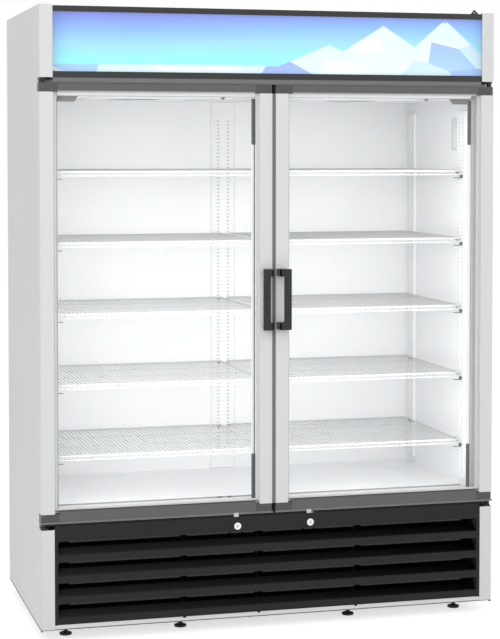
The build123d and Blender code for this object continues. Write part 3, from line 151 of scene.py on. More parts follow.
def quads(rows, columns, loop_rows=False, loop_columns=False):
    """The four corner numbers of each cell of a grid, whose last row or column may meet the first."""
    row = np.arange(rows if loop_rows else rows - 1)[:, None]
    column = np.arange(columns if loop_columns else columns - 1)[None]
    next_row = (row + 1) % rows
    next_column = (column + 1) % columns
    corners = (
        row * columns + column,
        row * columns + next_column,
        next_row * columns + next_column,
        next_row * columns + column,
    )
    return np.stack(corners, axis=-1).reshape(-1, 4)


def loft(sections, ring=False):
    """Closed sections of equal counts, joined in order. The ends are closed, or meet each other in a ring."""
    sections = np.asarray(sections, float)
    count, around = sections.shape[:2]
    faces = [quads(count, around, loop_rows=ring, loop_columns=True)]
    if not ring:
        first = np.arange(around)[None, ::-1]
        faces.append(np.vstack((first, first[:, ::-1] + (count - 1) * around)))
    return Shape(sections.reshape(-1, 3), faces).outward()


def lathe(profile, centre, axis=(0, 0, 1), sides=32, ring=False):
    """Each (radius, height) of the profile is a circle round the axis at that height, joined to the next."""
    profile = np.asarray(profile, float)
    axis = np.asarray(axis, float)
    side = np.array((1.0, 0, 0)) if abs(axis[0]) < 0.5 else np.array((0, 1.0, 0))
    other = np.cross(axis, side)
    turn = np.linspace(0, 2 * np.pi, sides, endpoint=False)
    circle = np.cos(turn)[:, None] * side + np.sin(turn)[:, None] * other
    rings = profile[:, :1, None] * circle[None] + profile[:, 1:, None] * axis
    return loft(rings + np.asarray(centre, float), ring=ring)


def rod(path, radius, sides=6, loop=False):
    """A polygon of that radius stands square to the path at each of its points, and each joins the next."""
    path = np.asarray(path, float)
    if loop:
        ahead = np.roll(path, -1, axis=0) - path
        behind = path - np.roll(path, 1, axis=0)
    else:
        steps = np.diff(path, axis=0)
        ahead = np.vstack((steps, steps[-1:]))
        behind = np.vstack((steps[:1], steps))
    ahead = ahead / np.linalg.norm(ahead, axis=1, keepdims=True)
    behind = behind / np.linalg.norm(behind, axis=1, keepdims=True)
    tangent = ahead + behind
    tangent = tangent / np.linalg.norm(tangent, axis=1, keepdims=True)
    spread = np.abs(tangent).max(axis=0)
    up = np.eye(3)[int(np.argmin(spread))]
    side = np.cross(tangent, up)
    side = side / np.linalg.norm(side, axis=1, keepdims=True)
    other = np.cross(tangent, side)
    turn = (np.arange(sides) + 0.5) * 2 * np.pi / sides
    circle = np.cos(turn)[None, :, None] * side[:, None] + np.sin(turn)[None, :, None] * other[:, None]
    return loft(path[:, None] + radius * circle, ring=loop)


def bar(outline, start, end, axis):
    """A flat outline of two coordinates, carried straight along one axis from start to end."""
    outline = np.asarray(outline, float)
    sections = np.empty((2, len(outline), 3))
    others = [number for number in range(3) if number != axis]
    sections[:, :, others] = outline
    sections[:, :, axis] = ((start,), (end,))
    return loft(sections)


def brick(x_range, depth_range, z_range):
    """A block between two x, two depths and two heights."""
    (a, b), (c, d) = x_range, depth_range
    return bar(((a, c), (b, c), (b, d), (a, d)), z_range[0], z_range[1], 2)


def rounded(width, height, radius):
    """The outline of a rectangle round its middle, each corner a quarter circle of the radius."""
    turn = np.linspace(0, np.pi / 2, ARC_POINTS)
    arc = radius * np.stack((np.cos(turn), np.sin(turn)), axis=1)
    corners = []
    for number, (sx, sy) in enumerate(((1, 1), (-1, 1), (-1, -1), (1, -1))):
        quarter = number * np.pi / 2
        spin = np.array(((np.cos(quarter), np.sin(quarter)), (-np.sin(quarter), np.cos(quarter))))
        corners.append(arc @ spin + (sx * (width / 2 - radius), sy * (height / 2 - radius)))
    return np.vstack(corners)


def border(profile, x_range, z_range, sides=None):
    """A profile of (inset, depth) carried round a rectangle or along some sides of it, with mitred corners."""
    inset, depth = np.asarray(profile, float).T
    corners = []
    for (end_x, in_x), (end_z, in_z) in (
        ((x_range[0], 1), (z_range[0], 1)),
        ((x_range[1], -1), (z_range[0], 1)),
        ((x_range[1], -1), (z_range[1], -1)),
        ((x_range[0], 1), (z_range[1], -1)),
    ):
        corners.append(np.stack((end_x + in_x * inset, depth, end_z + in_z * inset), axis=1))
    if sides is None:
        return loft(corners, ring=True)
    return joined([loft((corners[number], corners[(number + 1) % 4])) for number in sides])


def piece(name, shape, look, body="cabinet", stands_for=(), smooth=0.0, bevel=0.0, wall=0.0):
    """Puts a shape into the scene in metres, in the finish of its look."""
    mesh = bpy.data.meshes.new(name)
    points = (shape.points + (0, FACE, 0)) / 1000
    mesh.from_pydata(points.tolist(), [], [face for part in shape.faces for face in part.tolist()])
    mesh.validate()
    if smooth:
        mesh.polygons.foreach_set("use_smooth", np.ones(len(mesh.polygons), bool))
        mesh.set_sharp_from_angle(angle=math.radians(smooth))
    mesh.materials.append(finish_of(look))
    made = bpy.data.objects.new(name, mesh)
    bpy.context.scene.collection.objects.link(made)
    if wall:
        skin = made.modifiers.new("Wall", "SOLIDIFY")
        skin.thickness = wall / 1000
        skin.offset = -1
    if bevel:
        edge = made.modifiers.new("Edges", "BEVEL")
        edge.width = bevel / 1000
        edge.segments = 2
        edge.limit_method = "ANGLE"
        edge.angle_limit = math.radians(40)
    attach(made, body)
    if stands_for:
        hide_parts(*stands_for)


# Finishes


class Value:
    """One output of a material's nodes. Arithmetic on it adds Math nodes."""

    def __init__(self, finish, socket):
        self.finish = finish
        self.socket = socket

    def math(self, operation, *terms):
        """A Math node on these terms."""
        return self.finish.node("ShaderNodeMath", {"operation": operation}, dict(enumerate(terms)))

    def __add__(self, other):
        return self.math("ADD", self, other)

    def __radd__(self, other):
        return self.math("ADD", other, self)

    def __sub__(self, other):
        return self.math("SUBTRACT", self, other)

    def __rsub__(self, other):
        return self.math("SUBTRACT", other, self)

    def __mul__(self, other):
        return self.math("MULTIPLY", self, other)

    def __rmul__(self, other):
        return self.math("MULTIPLY", other, self)

    def __truediv__(self, other):
        return self.math("DIVIDE", self, other)

    def __pow__(self, other):
        return self.math("POWER", self, other)

    def __mod__(self, other):
        return self.math("FLOORED_MODULO", self, other)

    def __abs__(self):
        return self.math("ABSOLUTE", self)

    def __lt__(self, other):
        return self.math("LESS_THAN", self, other)

    def __gt__(self, other):
        return self.math("GREATER_THAN", self, other)

    def largest(self, other):
        """The larger of two values."""
        return self.math("MAXIMUM", self, other)

    def smallest(self, other):
        """The smaller of two values."""
        return self.math("MINIMUM", self, other)


class Nodes:
    """The nodes of a material or of the world, with nothing in them at first."""

    def __init__(self, owner):
        owner.use_nodes = True
        self.tree = owner.node_tree
        self.tree.nodes.clear()

    def node(self, kind, settings=None, inputs=None, output=0):
        """Adds a node: its settings first, then a value or a link for each named or numbered socket."""
        made = self.tree.nodes.new(kind)
        for key, value in (settings or {}).items():
            if key == "stops":
                ramp = made.color_ramp.elements
                while len(ramp) < len(value):
                    ramp.new(0.5)
                for stop, (position, colour) in zip(ramp, value):
                    stop.position = position
                    stop.color = (*colour, 1)
            else:
                setattr(made, key, value)
        for key, value in (inputs or {}).items():
            if isinstance(value, Value):
                self.tree.links.new(value.socket, made.inputs[key])
            else:
                made.inputs[key].default_value = value
        return Value(self, made.outputs[output]) if made.outputs else None

    def background(self):
        """1 for what is seen directly, in a reflection or through glass, and 0 for what only lights."""
        path = self.node("ShaderNodeLightPath")
        kinds = ("Is Camera Ray", "Is Glossy Ray", "Is Transmission Ray")
        camera, glossy, through = [Value(self, path.socket.node.outputs[kind]) for kind in kinds]
        return camera.largest(glossy).largest(through)


class Finish(Nodes):
    """A material in the making. It reads the piece's own coordinates and ends in one Principled shader."""

    def __init__(self, name):
        self.material = bpy.data.materials.new(f"{name}_finish")
        super().__init__(self.material)
        self.place = self.node("ShaderNodeTexCoord", output="Object")

    def mix(self, factor, first, second):
        """A colour between two: the first at a factor of 0, and the second at 1."""
        ends = {0: factor}
        for number, colour in ((6, first), (7, second)):
            ends[number] = colour if isinstance(colour, Value) else (*colour, 1)
        return self.node("ShaderNodeMix", {"data_type": "RGBA"}, ends, 2)

    def ramp(self, factor, stops):
        """A colour read off a row of stops, which blend in straight lines."""
        return self.node("ShaderNodeValToRGB", {"stops": stops}, {0: factor})

    def stretched(self, scale):
        """The coordinates times a scale for each axis."""
        return self.node("ShaderNodeVectorMath", {"operation": "MULTIPLY"}, {0: self.place, 1: scale})

    def axes(self):
        """The x, y and z of the coordinates."""
        split = self.node("ShaderNodeSeparateXYZ", {}, {0: self.place})
        return [Value(self, socket) for socket in split.socket.node.outputs]

    def noise(self, scale, detail=2.0, stretch=(1, 1, 1)):
        """Soft noise from 0 to 1, with so many waves to the metre."""
        vector = self.place if stretch == (1, 1, 1) else self.stretched(stretch)
        sockets = {"Vector": vector, "Scale": scale, "Detail": detail}
        return self.node("ShaderNodeTexNoise", {}, sockets, "Fac")

    def cells(self, scale, output="Distance"):
        """The distance or the colour of scattered cells, with so many cells to the metre."""
        return self.node("ShaderNodeTexVoronoi", {}, {"Vector": self.place, "Scale": scale}, output)

    def bump(self, height, depth):
        """A normal from a height of 0 to 1 and its depth in millimetres."""
        sockets = {"Height": height, "Distance": depth / 1000, "Strength": 1.0}
        return self.node("ShaderNodeBump", {}, sockets, "Normal")

    def done(self, **inputs):
        """Ends the material in a Principled shader with these sockets, and returns it."""
        named = {key.replace("_", " ").title().replace("Ior", "IOR"): value for key, value in inputs.items()}
        for key, value in named.items():
            if isinstance(value, tuple):
                named[key] = (*value, 1)
        shader = self.node("ShaderNodeBsdfPrincipled", {}, named)
        self.node("ShaderNodeOutputMaterial", {}, {"Surface": shader})
        return self.material


def deeper(colour, share):
    """A colour times a share."""
    return tuple(channel * share for channel in colour)


def painted(name, colour, roughness, grain=700.0, depth=0.02, cloud=0.05):
    """Sprayed or powder paint: a fine orange peel, and a tone that drifts slowly over the panel."""
    finish = Finish(name)
    peel = finish.noise(grain, 1.0)
    drift = finish.noise(2.2, 3.0)
    dust = finish.noise(60.0, 4.0)
    tone = finish.mix(drift * dust * (4 * cloud), colour, deeper(colour, 0.72))
    return finish.done(
        base_color=tone,
        roughness=roughness + (drift - 0.5) * 0.12 + (peel - 0.5) * 0.06,
        normal=finish.bump(peel, depth),
    )


def moulded(name, colour, roughness, grain=900.0, depth=0.05, gloss=0.5):
    """Moulded plastic: a spark-eroded grain of small pits, and a faint bloom."""
    finish = Finish(name)
    pits = finish.cells(grain)
    bloom = finish.noise(9.0, 4.0)
    tone = finish.mix(bloom * 0.5, colour, deeper(colour, 0.8))
    return finish.done(
        base_color=tone,
        roughness=roughness + (bloom - 0.5) * 0.15 - pits * 0.08,
        specular_ior_level=gloss,
        normal=finish.bump(pits, depth),
    )


def louvre_plastic(name, colour, pitch):
    """Moulded grille plastic, with a painted highlight along the lower lips, and painted shade on the blades
    behind the face, lightest at the left end and darker towards the right.
    """
    lip_height, opening_end, sill_top, blade_start = 0.0056, 0.737, 0.12, (FACE + 5) / 1000
    finish = Finish(name)
    x, depth, height = finish.axes()
    pits = finish.cells(700.0)
    bloom = finish.noise(9.0, 4.0)
    above = (height - (BAND / 1000 - 3 * pitch)) % pitch
    # Painted highlight: the lower lips picked out here are made lighter than the face.
    lip = (above < lip_height) * (abs(x) < opening_end) * (height > sill_top)
    # Painted shade: the blades behind the face are darker than the face, and lighter towards the left, where
    # the light falls.
    behind = ((depth - blade_start) * 700.0).largest(0.0).smallest(1.0)
    lit_from_left = (0.5 - x * 0.68).largest(0.0).smallest(1.0)
    tone = finish.mix(bloom * 0.5, colour, deeper(colour, 0.8))
    blades = finish.mix(lit_from_left, (0.0008, 0.0008, 0.0008), (0.021, 0.021, 0.0215))
    lip_highlighted = finish.mix(lip * 0.9, finish.mix(behind, tone, blades), (0.06, 0.06, 0.061))
    return finish.done(
        base_color=lip_highlighted,
        roughness=0.5 + (bloom - 0.5) * 0.15 - pits * 0.08,
        specular_ior_level=0.1,
        normal=finish.bump(pits, 0.06),
    )


def drawn_metal(name, colour, roughness, along=(1, 1, 0.03), grain=900.0):
    """Drawn, brushed or plated metal: fine lines along one axis over a slow change of tone."""
    finish = Finish(name)
    lines = finish.noise(grain, 2.0, stretch=along)
    drift = finish.noise(7.0, 3.0)
    tone = finish.mix(lines * 0.5 + drift * 0.3, colour, deeper(colour, 0.68))
    return finish.done(
        base_color=tone,
        metallic=1.0,
        roughness=roughness + (lines - 0.5) * 0.2,
        normal=finish.bump(lines, 0.01),
    )


def galvanised(name, colour):
    """Galvanised sheet: crystals of zinc a few millimetres across, each with its own tone and gloss."""
    finish = Finish(name)
    crystals = finish.cells(130.0, "Color")
    tone = finish.node("ShaderNodeSeparateColor", {}, {0: crystals})
    drift = finish.noise(3.0, 3.0)
    shade = finish.mix(tone * 0.6 + drift * 0.3, colour, deeper(colour, 0.7))
    return finish.done(
        base_color=shade,
        metallic=0.85,
        roughness=0.34 + tone * 0.2,
        normal=finish.bump(finish.noise(240.0, 2.0), 0.02),
    )


def glazing(name, colour, share):
    """Clear toughened glass: almost all of the light passes, with faint wiping marks in its gloss."""
    finish = Finish(name)
    marks = finish.noise(14.0, 4.0, stretch=(1, 1, 0.35))
    return finish.done(
        base_color=finish.mix(marks, colour, deeper(colour, 0.94)),
        roughness=0.02 + marks * 0.03,
        alpha=share,
    )


def glow_finish(name, colour, strength):
    """A glowing opal finish, with a faint swell in the glow where a row of small light sources stands behind
    it. On the lamps it is a lit lens; on the spacer and on the strip over the doorways the glow is painted
    light.
    """
    finish = Finish(name)
    height = finish.axes()[2]
    swell = abs((height * 28.0) % 1.0 - 0.5) * 2
    glow = finish.mix(swell, colour, deeper(colour, 0.9))
    return finish.done(
        base_color=finish.mix(finish.noise(400.0), colour, deeper(colour, 0.95)),
        roughness=0.35,
        emission_color=glow,
        emission_strength=strength,
    )


def ice_picture(name, settings):
    """A lit sheet with a cold sky that fades down to a pale horizon, and a ridge of ice facets at one end."""
    finish = Finish(name)
    low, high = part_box("sign_panel")
    x, _, z = finish.axes()
    across = (x - low.x) / (high.x - low.x)
    up = (z - low.z) / (high.z - low.z)
    drift = finish.noise(1.6, 1.0, stretch=(1, 1, 3))
    rise = up + (drift - 0.5) * 0.22 - (across - 0.4) * 0.1
    sky = finish.ramp(
        rise,
        (
            (0.06, (0.72, 0.93, 1.0)),
            (0.17, tuple(settings.horizon)),
            (0.5, (0.38, 0.76, 1.0)),
            (0.72, tuple(settings.sky)),
            (0.98, tuple(settings.zenith)),
        ),
    )
    ridge = 0.13 + drift * 0.06
    for peak, middle, slope in ((0.86, 0.76, 4.6), (0.52, 0.63, 3.0), (0.98, 0.91, 6.4)):
        ridge = ridge.largest(peak - abs(across - middle) * slope)
    edge_sharpness = 34.0
    mask = ((ridge - up) * edge_sharpness).largest(0.0).smallest(1.0)
    leaning = {0: across * 9.0 + up * 1.6, 1: up * 2.3 - across * 1.2, 2: 0.0}
    spots = {"Vector": finish.node("ShaderNodeCombineXYZ", {}, leaning), "Scale": 1.0}
    facets = finish.node("ShaderNodeTexVoronoi", {"voronoi_dimensions": "2D"}, spots, "Color")
    tone = finish.node("ShaderNodeSeparateColor", {}, {0: facets})
    ice = finish.ramp(
        tone + up * 0.25 - 0.1,
        (
            (0.0, (0.92, 0.99, 1.0)),
            (0.55, (0.74, 0.95, 1.0)),
            (0.8, (0.42, 0.66, 0.98)),
            (1.0, (0.4, 0.38, 0.9)),
        ),
    )
    picture = finish.mix(mask, sky, ice)
    edge_x = (abs(across - 0.5) * 2) ** 24
    edge_z = (abs(up - 0.5) * 2) ** 10
    shade = (1 - edge_x * 0.35 - edge_z * 0.3).largest(0.0)
    lit = finish.mix(shade, (0.02, 0.05, 0.16), picture)
    return finish.done(
        base_color=finish.mix(0.35, (0.0, 0.0, 0.0), lit),
        roughness=0.22 + finish.noise(30.0, 3.0) * 0.06,
        emission_color=lit,
        emission_strength=settings.glow,
    )


def make_finishes(scene):
    """Every material of the cabinet, by the name of its look."""
    paint = scene.merchandiser_paint
    white = tuple(paint.enamel)
    dark = tuple(paint.trim)
    handle = tuple(paint.handle)
    grille = tuple(paint.grille)
    louvres = scene.merchandiser_grille.pitch
    cloth = (0.006, 0.006, 0.006)
    return {
        "white_enamel": painted("white_enamel", white, 0.38),
        "white_aluminium": painted("white_aluminium", deeper(white, 1.02), 0.32, grain=500.0, depth=0.012),
        "white_liner": painted("white_liner", (0.86, 0.87, 0.88), 0.3, grain=350.0, depth=0.02),
        "white_plastic": moulded("white_plastic", (0.82, 0.83, 0.84), 0.35, grain=1200.0, depth=0.01),
        "galvanised_sheet": galvanised("galvanised_sheet", (0.6, 0.61, 0.62)),
        "foam": moulded("foam", (0.74, 0.66, 0.46), 0.9, grain=300.0, depth=0.3),
        "grey_plastic": moulded("grey_plastic", (0.33, 0.33, 0.33), 0.5),
        "dark_plastic": moulded("dark_plastic", tuple(paint.caps), 0.48),
        "black_plastic": moulded("black_plastic", handle, 0.34, grain=1300.0, depth=0.02, gloss=0.4),
        "grille_plastic": louvre_plastic("grille_plastic", grille, louvres),
        "dark_trim": painted("dark_trim", dark, 0.42, grain=600.0, cloud=0.12),
        # The spacer's faint glow is painted light that lifts the shaded undersides behind the door rails.
        "spacer": glow_finish("spacer", (0.8, 0.805, 0.81), 0.1),
        "header_paint": painted("header_paint", deeper(dark, 0.16), 0.42, grain=600.0, cloud=0.12),
        "grey_trim": painted("grey_trim", (0.19, 0.19, 0.195), 0.45, grain=600.0, cloud=0.12),
        "black_enamel": painted("black_enamel", (0.012, 0.012, 0.013), 0.4, grain=400.0, cloud=0.2),
        "lamp_cap": moulded("lamp_cap", (0.13, 0.13, 0.132), 0.48),
        # The glow of this strip is painted light on the shaded frame face over the doorways.
        "painted_glow_strip": glow_finish("painted_glow_strip", (0.86, 0.87, 0.88), 0.5),
        "filter_cloth": moulded("filter_cloth", cloth, 0.85, grain=800.0, depth=0.2, gloss=0.1),
        "aluminium": drawn_metal("aluminium", (0.78, 0.79, 0.8), 0.32),
        "zinc_steel": drawn_metal("zinc_steel", (0.55, 0.55, 0.54), 0.35, along=(1, 1, 1), grain=220.0),
        "copper": drawn_metal("copper", (0.78, 0.38, 0.22), 0.3),
        "chrome": drawn_metal("chrome", (0.86, 0.87, 0.88), 0.14, along=(1, 1, 1), grain=120.0),
        "shelf_wire": painted("shelf_wire", (0.7, 0.705, 0.71), 0.36, grain=900.0, depth=0.03, cloud=0.15),
        "fine_wire": painted("fine_wire", (0.45, 0.455, 0.46), 0.36, grain=900.0, depth=0.03, cloud=0.15),
        "gasket": moulded("gasket", (0.62, 0.625, 0.63), 0.6, grain=500.0, depth=0.03),
        "glass": glazing("glass", (0.93, 0.95, 0.95), 0.02),
        "lamp_lens": glow_finish("lamp_lens", (0.97, 0.985, 1.0), scene.merchandiser_light.lens),
        "sign": ice_picture("sign", scene.merchandiser_picture),
    }


def finish_of(look):
    """The material of a look, which the finishes' operator has made."""
    if f"{look}_finish" not in bpy.data.materials:
        raise RuntimeError(f"the finishes come first: there is no material named {look}_finish")
    return bpy.data.materials[f"{look}_finish"]


# Settings


def tint(label, about, default):
    """A colour setting."""
    return bpy.props.FloatVectorProperty(
        name=label, description=about, default=default, size=3, min=0, max=1, subtype="COLOR"
    )


def strength(label, about, default, unit="NONE"):
    """A light's strength, or its power in watts."""
    return bpy.props.FloatProperty(name=label, description=about, default=default, min=0, unit=unit)


def length(label, about, millimetres):
    """A length setting, which holds metres as Blender's lengths do."""
    return bpy.props.FloatProperty(
        name=label, description=about, default=millimetres / 1000, min=0, precision=4, unit="LENGTH"
    )


class MerchandiserPaint(bpy.types.PropertyGroup):
    """Colours of the painted and moulded parts"""

    enamel: tint("Enamel", "Paint of the side panels and door stiles", (0.8, 0.805, 0.81))
    trim: tint("Trim", "Paint of the header frame and door rails", (0.118, 0.118, 0.12))
    caps: tint("Corner caps", "Plastic of the door corners and lamp ends", (0.075, 0.075, 0.077))
    handle: tint("Handles", "Plastic of the door handles", (0.02, 0.02, 0.0205))
    grille: tint("Grille", "Plastic of the base grille", (0.031, 0.031, 0.0315))


class MerchandiserPicture(bpy.types.PropertyGroup):
    """Colours and strength of the lit header"""

    zenith: tint("Top of the sky", "Colour along the upper edge of the header picture", (0.26, 0.31, 0.84))
    sky: tint("Sky", "Colour of the upper half of the header picture", (0.3, 0.56, 1.0))
    horizon: tint("Horizon", "Colour low down in the header picture", (0.34, 0.98, 1.0))
    glow: strength("Glow", "Strength of the header's light", 0.76)


class MerchandiserShelves(bpy.types.PropertyGroup):
    """Sizes of the wire shelves and of the pilasters they hang on"""

    wires: bpy.props.IntProperty(
        name="Wires", description="Wires from front to back in a shelf", default=50, min=2
    )
    wire: length("Wire", "Diameter of a shelf wire", 2.6)
    edge: length("Edge rod", "Diameter of the rod round a shelf", 6.0)
    slot_pitch: length("Slot pitch", "Distance between two pilaster slots", 13.26)


class MerchandiserGrille(bpy.types.PropertyGroup):
    """Sizes of the louvred base grille"""

    pitch: length("Louvre pitch", "Distance between two louvres", 69.1)
    notch: length("Notch", "Height of the steps in the lower lips", 4.5)
    corner: length("Corner", "Radius of the openings' corners", 5.0)


class MerchandiserLight(bpy.types.PropertyGroup):
    """Strengths of the studio's lamps and of the cabinet's own"""

    ambient: strength("Ambient", "Strength of the room's light", 0.54)
    key: strength("Key", "Power of the front light", 95, "POWER")
    inside: strength("Bay lamps", "Power of the light in each bay", 4.5, "POWER")
    lens: strength("Lenses", "Glow of the cabinet's lamp lenses", 0.3)


# Shapes of the pieces


def wire_shelf(node, settings):
    """Two shapes: the wires from rear to front, and the rods that carry them.

    The rods are one round the edge in a rounded rectangle, the wires' ends that turn down at the front, a lower
    rod across those ends, and two ties from side to side.
    """
    (left, right), (front, rear), (_, top) = cad_range(node)
    wire, edge = settings.wire * 1000, settings.edge * 1000
    side_gap, bend, end_gap, corner, lower_radius, tie_radius = 5, 5, 3, 9, 2, 1.4
    level = top - wire / 2
    down = front + wire / 2
    start = (0, front + bend, level)
    drop_line = (start, (0, front + 2.2, top - 2.4), (0, down, top - 5.5), (0, down, top - 20.4))
    spots = np.zeros((settings.wires, 3))
    spots[:, 0] = np.linspace(left + edge + side_gap, right - edge - side_gap, settings.wires)
    wires = rod(((0, rear - edge / 2, level), start), wire / 2).at(spots)
    drops = rod(drop_line, wire / 2).at(spots)
    outline = rounded(right - left - edge, rear - front - wire - edge, corner)
    middle = ((left + right) / 2, (front + wire + rear) / 2)
    ring = np.column_stack((outline + middle, np.full(len(outline), top - wire - edge / 2)))
    edge_rod = rod(ring, edge / 2, sides=10, loop=True)

    def crossing(depth, height, radius):
        """A rod from side to side."""
        return rod(((left + end_gap, depth, height), (right - end_gap, depth, height)), radius, sides=8)

    lower = crossing(front + wire + lower_radius, top - 18.6, lower_radius)
    tie_depths = front + (rear - front) * np.array((0.34, 0.67))
    ties = [crossing(depth, top - wire - tie_radius, tie_radius) for depth in tie_depths]
    return wires, joined((drops, edge_rod, lower, *ties))


def slotted_channel(origin, along, out, slot_pitch):
    """A hat section on a grid of breakpoints across and rows up. The cells that are slots are left open."""
    across = np.array((-40.0, -34, -24, -13, 13, 24, 34, 40))
    proud = np.array((0.0, 8, 8, 8, 8, 8, 8, 0))
    slot_columns = (2, 4)
    top_slot, end_gap = 1731, 20
    half_slot = slot_pitch / 5
    _, _, (bottom, top) = cad_range("shelf_pilasters")
    centres = np.arange(top_slot, bottom + end_gap, -slot_pitch)[::-1]
    edges = np.stack((centres - half_slot, centres + half_slot), axis=1).ravel()
    rows = np.concatenate(((bottom,), edges, (top,)))
    points = np.empty((len(rows), len(across), 3))
    points[:, :, :2] = np.array(origin) + np.column_stack((across, proud)) @ np.array((along, out))
    points[:, :, 2] = rows[:, None]
    cells = quads(len(rows), len(across))
    row, column = np.divmod(np.arange(len(cells)), len(across) - 1)
    is_slot = (row % 2 == 1) & np.isin(column, slot_columns)
    return Shape(points.reshape(-1, 3), [cells[~is_slot]])


def slot_shade_strip(origin, along, out):
    """A flat grey strip inside a pilaster, close behind its slots: painted shade that makes the slots read
    dark.
    """
    _, _, (bottom, top) = cad_range("shelf_pilasters")
    corners = np.array(((-31, 5.9), (31, 5.9), (31, 6.4), (-31, 6.4)))
    outline = np.array(origin) + corners @ np.array((along, out))
    return bar(outline, bottom + 2, top - 2, 2)


def hook(reach):
    """The outline of a shelf hook: out under the rod, up in front of it, and back along a sloping root."""
    tip = ((reach - 2, -4.6), (reach, -4.6))
    return ((0, -8.6), (reach - 2, -8.6), *tip, (reach, -11), (3, -16.5), (0, -16.5))


def tier_hooks(top):
    """The clips under the front corners of one tier's shelves, and hooks of one outline on every pilaster."""
    arm = brick((697, 733), (129, 131.5), (top - 31, top - 28.5))
    clip = arm + brick((723, 732), (129, 140), (top - 31, top - 19))
    hooks = [clip.mirrored(), clip]
    proud, half_width, slot_line, mullion_drop = 8, 2, 18.5, 7
    for sign in (-1, 1):
        across = np.array(hook(13)) * (-sign, 1) + (sign * (WALL - proud), top)
        for depth in (164.5, 636.5):
            hooks.append(bar(across, depth - half_width, depth + half_width, 1))
        for depth, height, out, reach in ((REAR - proud, top, -1, 12.5), (124, top - mullion_drop, 1, 15)):
            along = np.array(hook(reach)) * (out, 1) + (depth, height)
            hooks.append(bar(along, sign * slot_line - half_width, sign * slot_line + half_width, 0))
    return joined(hooks)


def louvre_row(bottom, section, notches, step):
    """A section of depth and height, carried along x. In the notches, its lip points rise by a step."""
    half = cad_range("front_grille")[0][1] - CHEEK + 0.5
    flank, lip_height = 0.8, 5.0
    stations = [-half, half]
    for low, high in notches:
        stations += [low, low + flank, high - flank, high]
    stations = np.sort(np.clip(np.array(stations), -half, half))
    raised = np.zeros(len(stations))
    for low, high in notches:
        inside = (stations > low + flank / 2) & (stations < high - flank / 2)
        raised = np.maximum(raised, inside.astype(float))
    section = np.asarray(section, float)
    sections = np.empty((len(stations), len(section), 3))
    sections[:, :, 0] = stations[:, None]
    sections[:, :, 1] = section[None, :, 0]
    lip = np.clip(1 - section[:, 1] / lip_height, 0, 1)
    sections[:, :, 2] = bottom + section[None, :, 1] + raised[:, None] * lip[None] * step
    return loft(sections)


def grille_moulding(settings):
    """Band, three louvres and sill, each a section carried along x, with cheeks, ribs and rounded corners."""
    (_, half), (face, _), (bottom, top) = cad_range("front_grille")
    pitch, notch, radius = settings.pitch * 1000, settings.notch * 1000, settings.corner * 1000
    wall, lip, back, band_back, louvre_height, sill_height = 2.6, 5.0, 34.0, 27.0, 28.0, 23.3
    inside = face + wall
    notches = ((-736.5, -699.7), (-325.6, -301.6), (-69.4, -37.9), (285.7, 310.9), (677.5, 736.5))
    lock_notches = ((-160, -151), (-114, -105), (98, 107), (140, 149))

    def section(*upper):
        """An outline of depth and height with these upper points, over a lip that slopes in."""
        return ((face + lip - 1, 0), (face, lip), *upper, (inside, lip), (face + lip + wall - 1, 1))

    def louvre(height):
        """A blade that stands to this height at the face and slopes up from there to the rear."""
        slope = ((face, height), (back, height + 20), (back, height + 20 - wall), (inside, height - wall))
        return section(*slope)

    parts = []
    slots = []
    for number in range(1, 4):
        low = BAND - number * pitch
        parts.append(louvre_row(low, louvre(louvre_height), notches, notch))
        slots.append((low + louvre_height, low + pitch))
    parts.append(louvre_row(bottom, louvre(sill_height), (), 0))
    slots.append((bottom + sill_height, BAND - 3 * pitch))
    head = top - BAND
    turn_in = ((band_back, head), (band_back, head - wall), (inside, head - wall))
    band = section((face, head - 1), (face + 1, head), *turn_in)
    parts.append(louvre_row(BAND, band, sorted(notches + lock_notches), notch))
    arc = rounded(2 * radius, 2 * radius, radius)[:ARC_POINTS]
    web = np.vstack(((radius, radius), arc)) - radius
    inner = half - CHEEK
    front = face - 0.15
    rear = ((half, band_back), (half - wall, band_back), (half - wall, inside))
    cheek = np.array(((inner, front), (half, front), *rear, (inner, inside)))
    for sign in (-1, 1):
        parts.append(bar(cheek * (sign, 1), bottom, top, 2))
        for low, high in slots:
            for end, turn in ((high, 1), (low, -1)):
                corner = web * (sign, turn) + (sign * (inner + 0.05), end)
                parts.append(bar(corner, face - 0.1, inside - 0.2, 1))
    for x in RIBS:
        parts.append(brick((x - 5, x + 5), (face + 0.4, inside), (bottom - 3.5, bottom + 1)))
    return joined(parts)


def pleated_mat(x_range, depth_range, z_range, pitch):
    """Filter cloth in a thin frame: its depth runs to and fro with x, in straight pleats."""
    near, far = depth_range
    margin, cloth, flange, gauge = 4, 1.2, 9, 1.5
    x = np.arange(x_range[0] + margin, x_range[1] - margin, pitch / 2)
    line = np.column_stack((x, np.where(np.arange(len(x)) % 2 == 0, near + 3, far - 2)))
    outline = np.vstack((line, line[::-1] + (0, cloth)))
    pleats = bar(outline, z_range[0] + margin, z_range[1] - margin, 2)
    rim = ((0, near), (flange, near), (flange, near + gauge), (gauge, near + gauge), (gauge, far), (0, far))
    return pleats + border(rim, x_range, z_range)


def foot_shape():
    """A turned pad, a threaded stem whose radius swings with height, and a six-sided nut under the pan."""
    pad = ((0, 0), (20, 0), (21, 0.9), (21, 6.2), (19.6, 7.4), (11, 9.4), (9, 10.4), (9, 12), (5.6, 12.6))
    heights = np.arange(13, 49, 0.75)
    thread = np.column_stack((5.2 + 0.5 * (np.arange(len(heights)) % 2), heights))
    stem = lathe(np.vstack((pad, thread, ((0, 49),))), (0, 0, 0), sides=28)
    nut = ((0, 48.5), (9.6, 48.5), (11.2, 49.8), (11.2, 57.4), (10.4, 58.6), (0, 58.6))
    return stem + lathe(nut, (0, 0, 0), sides=6)


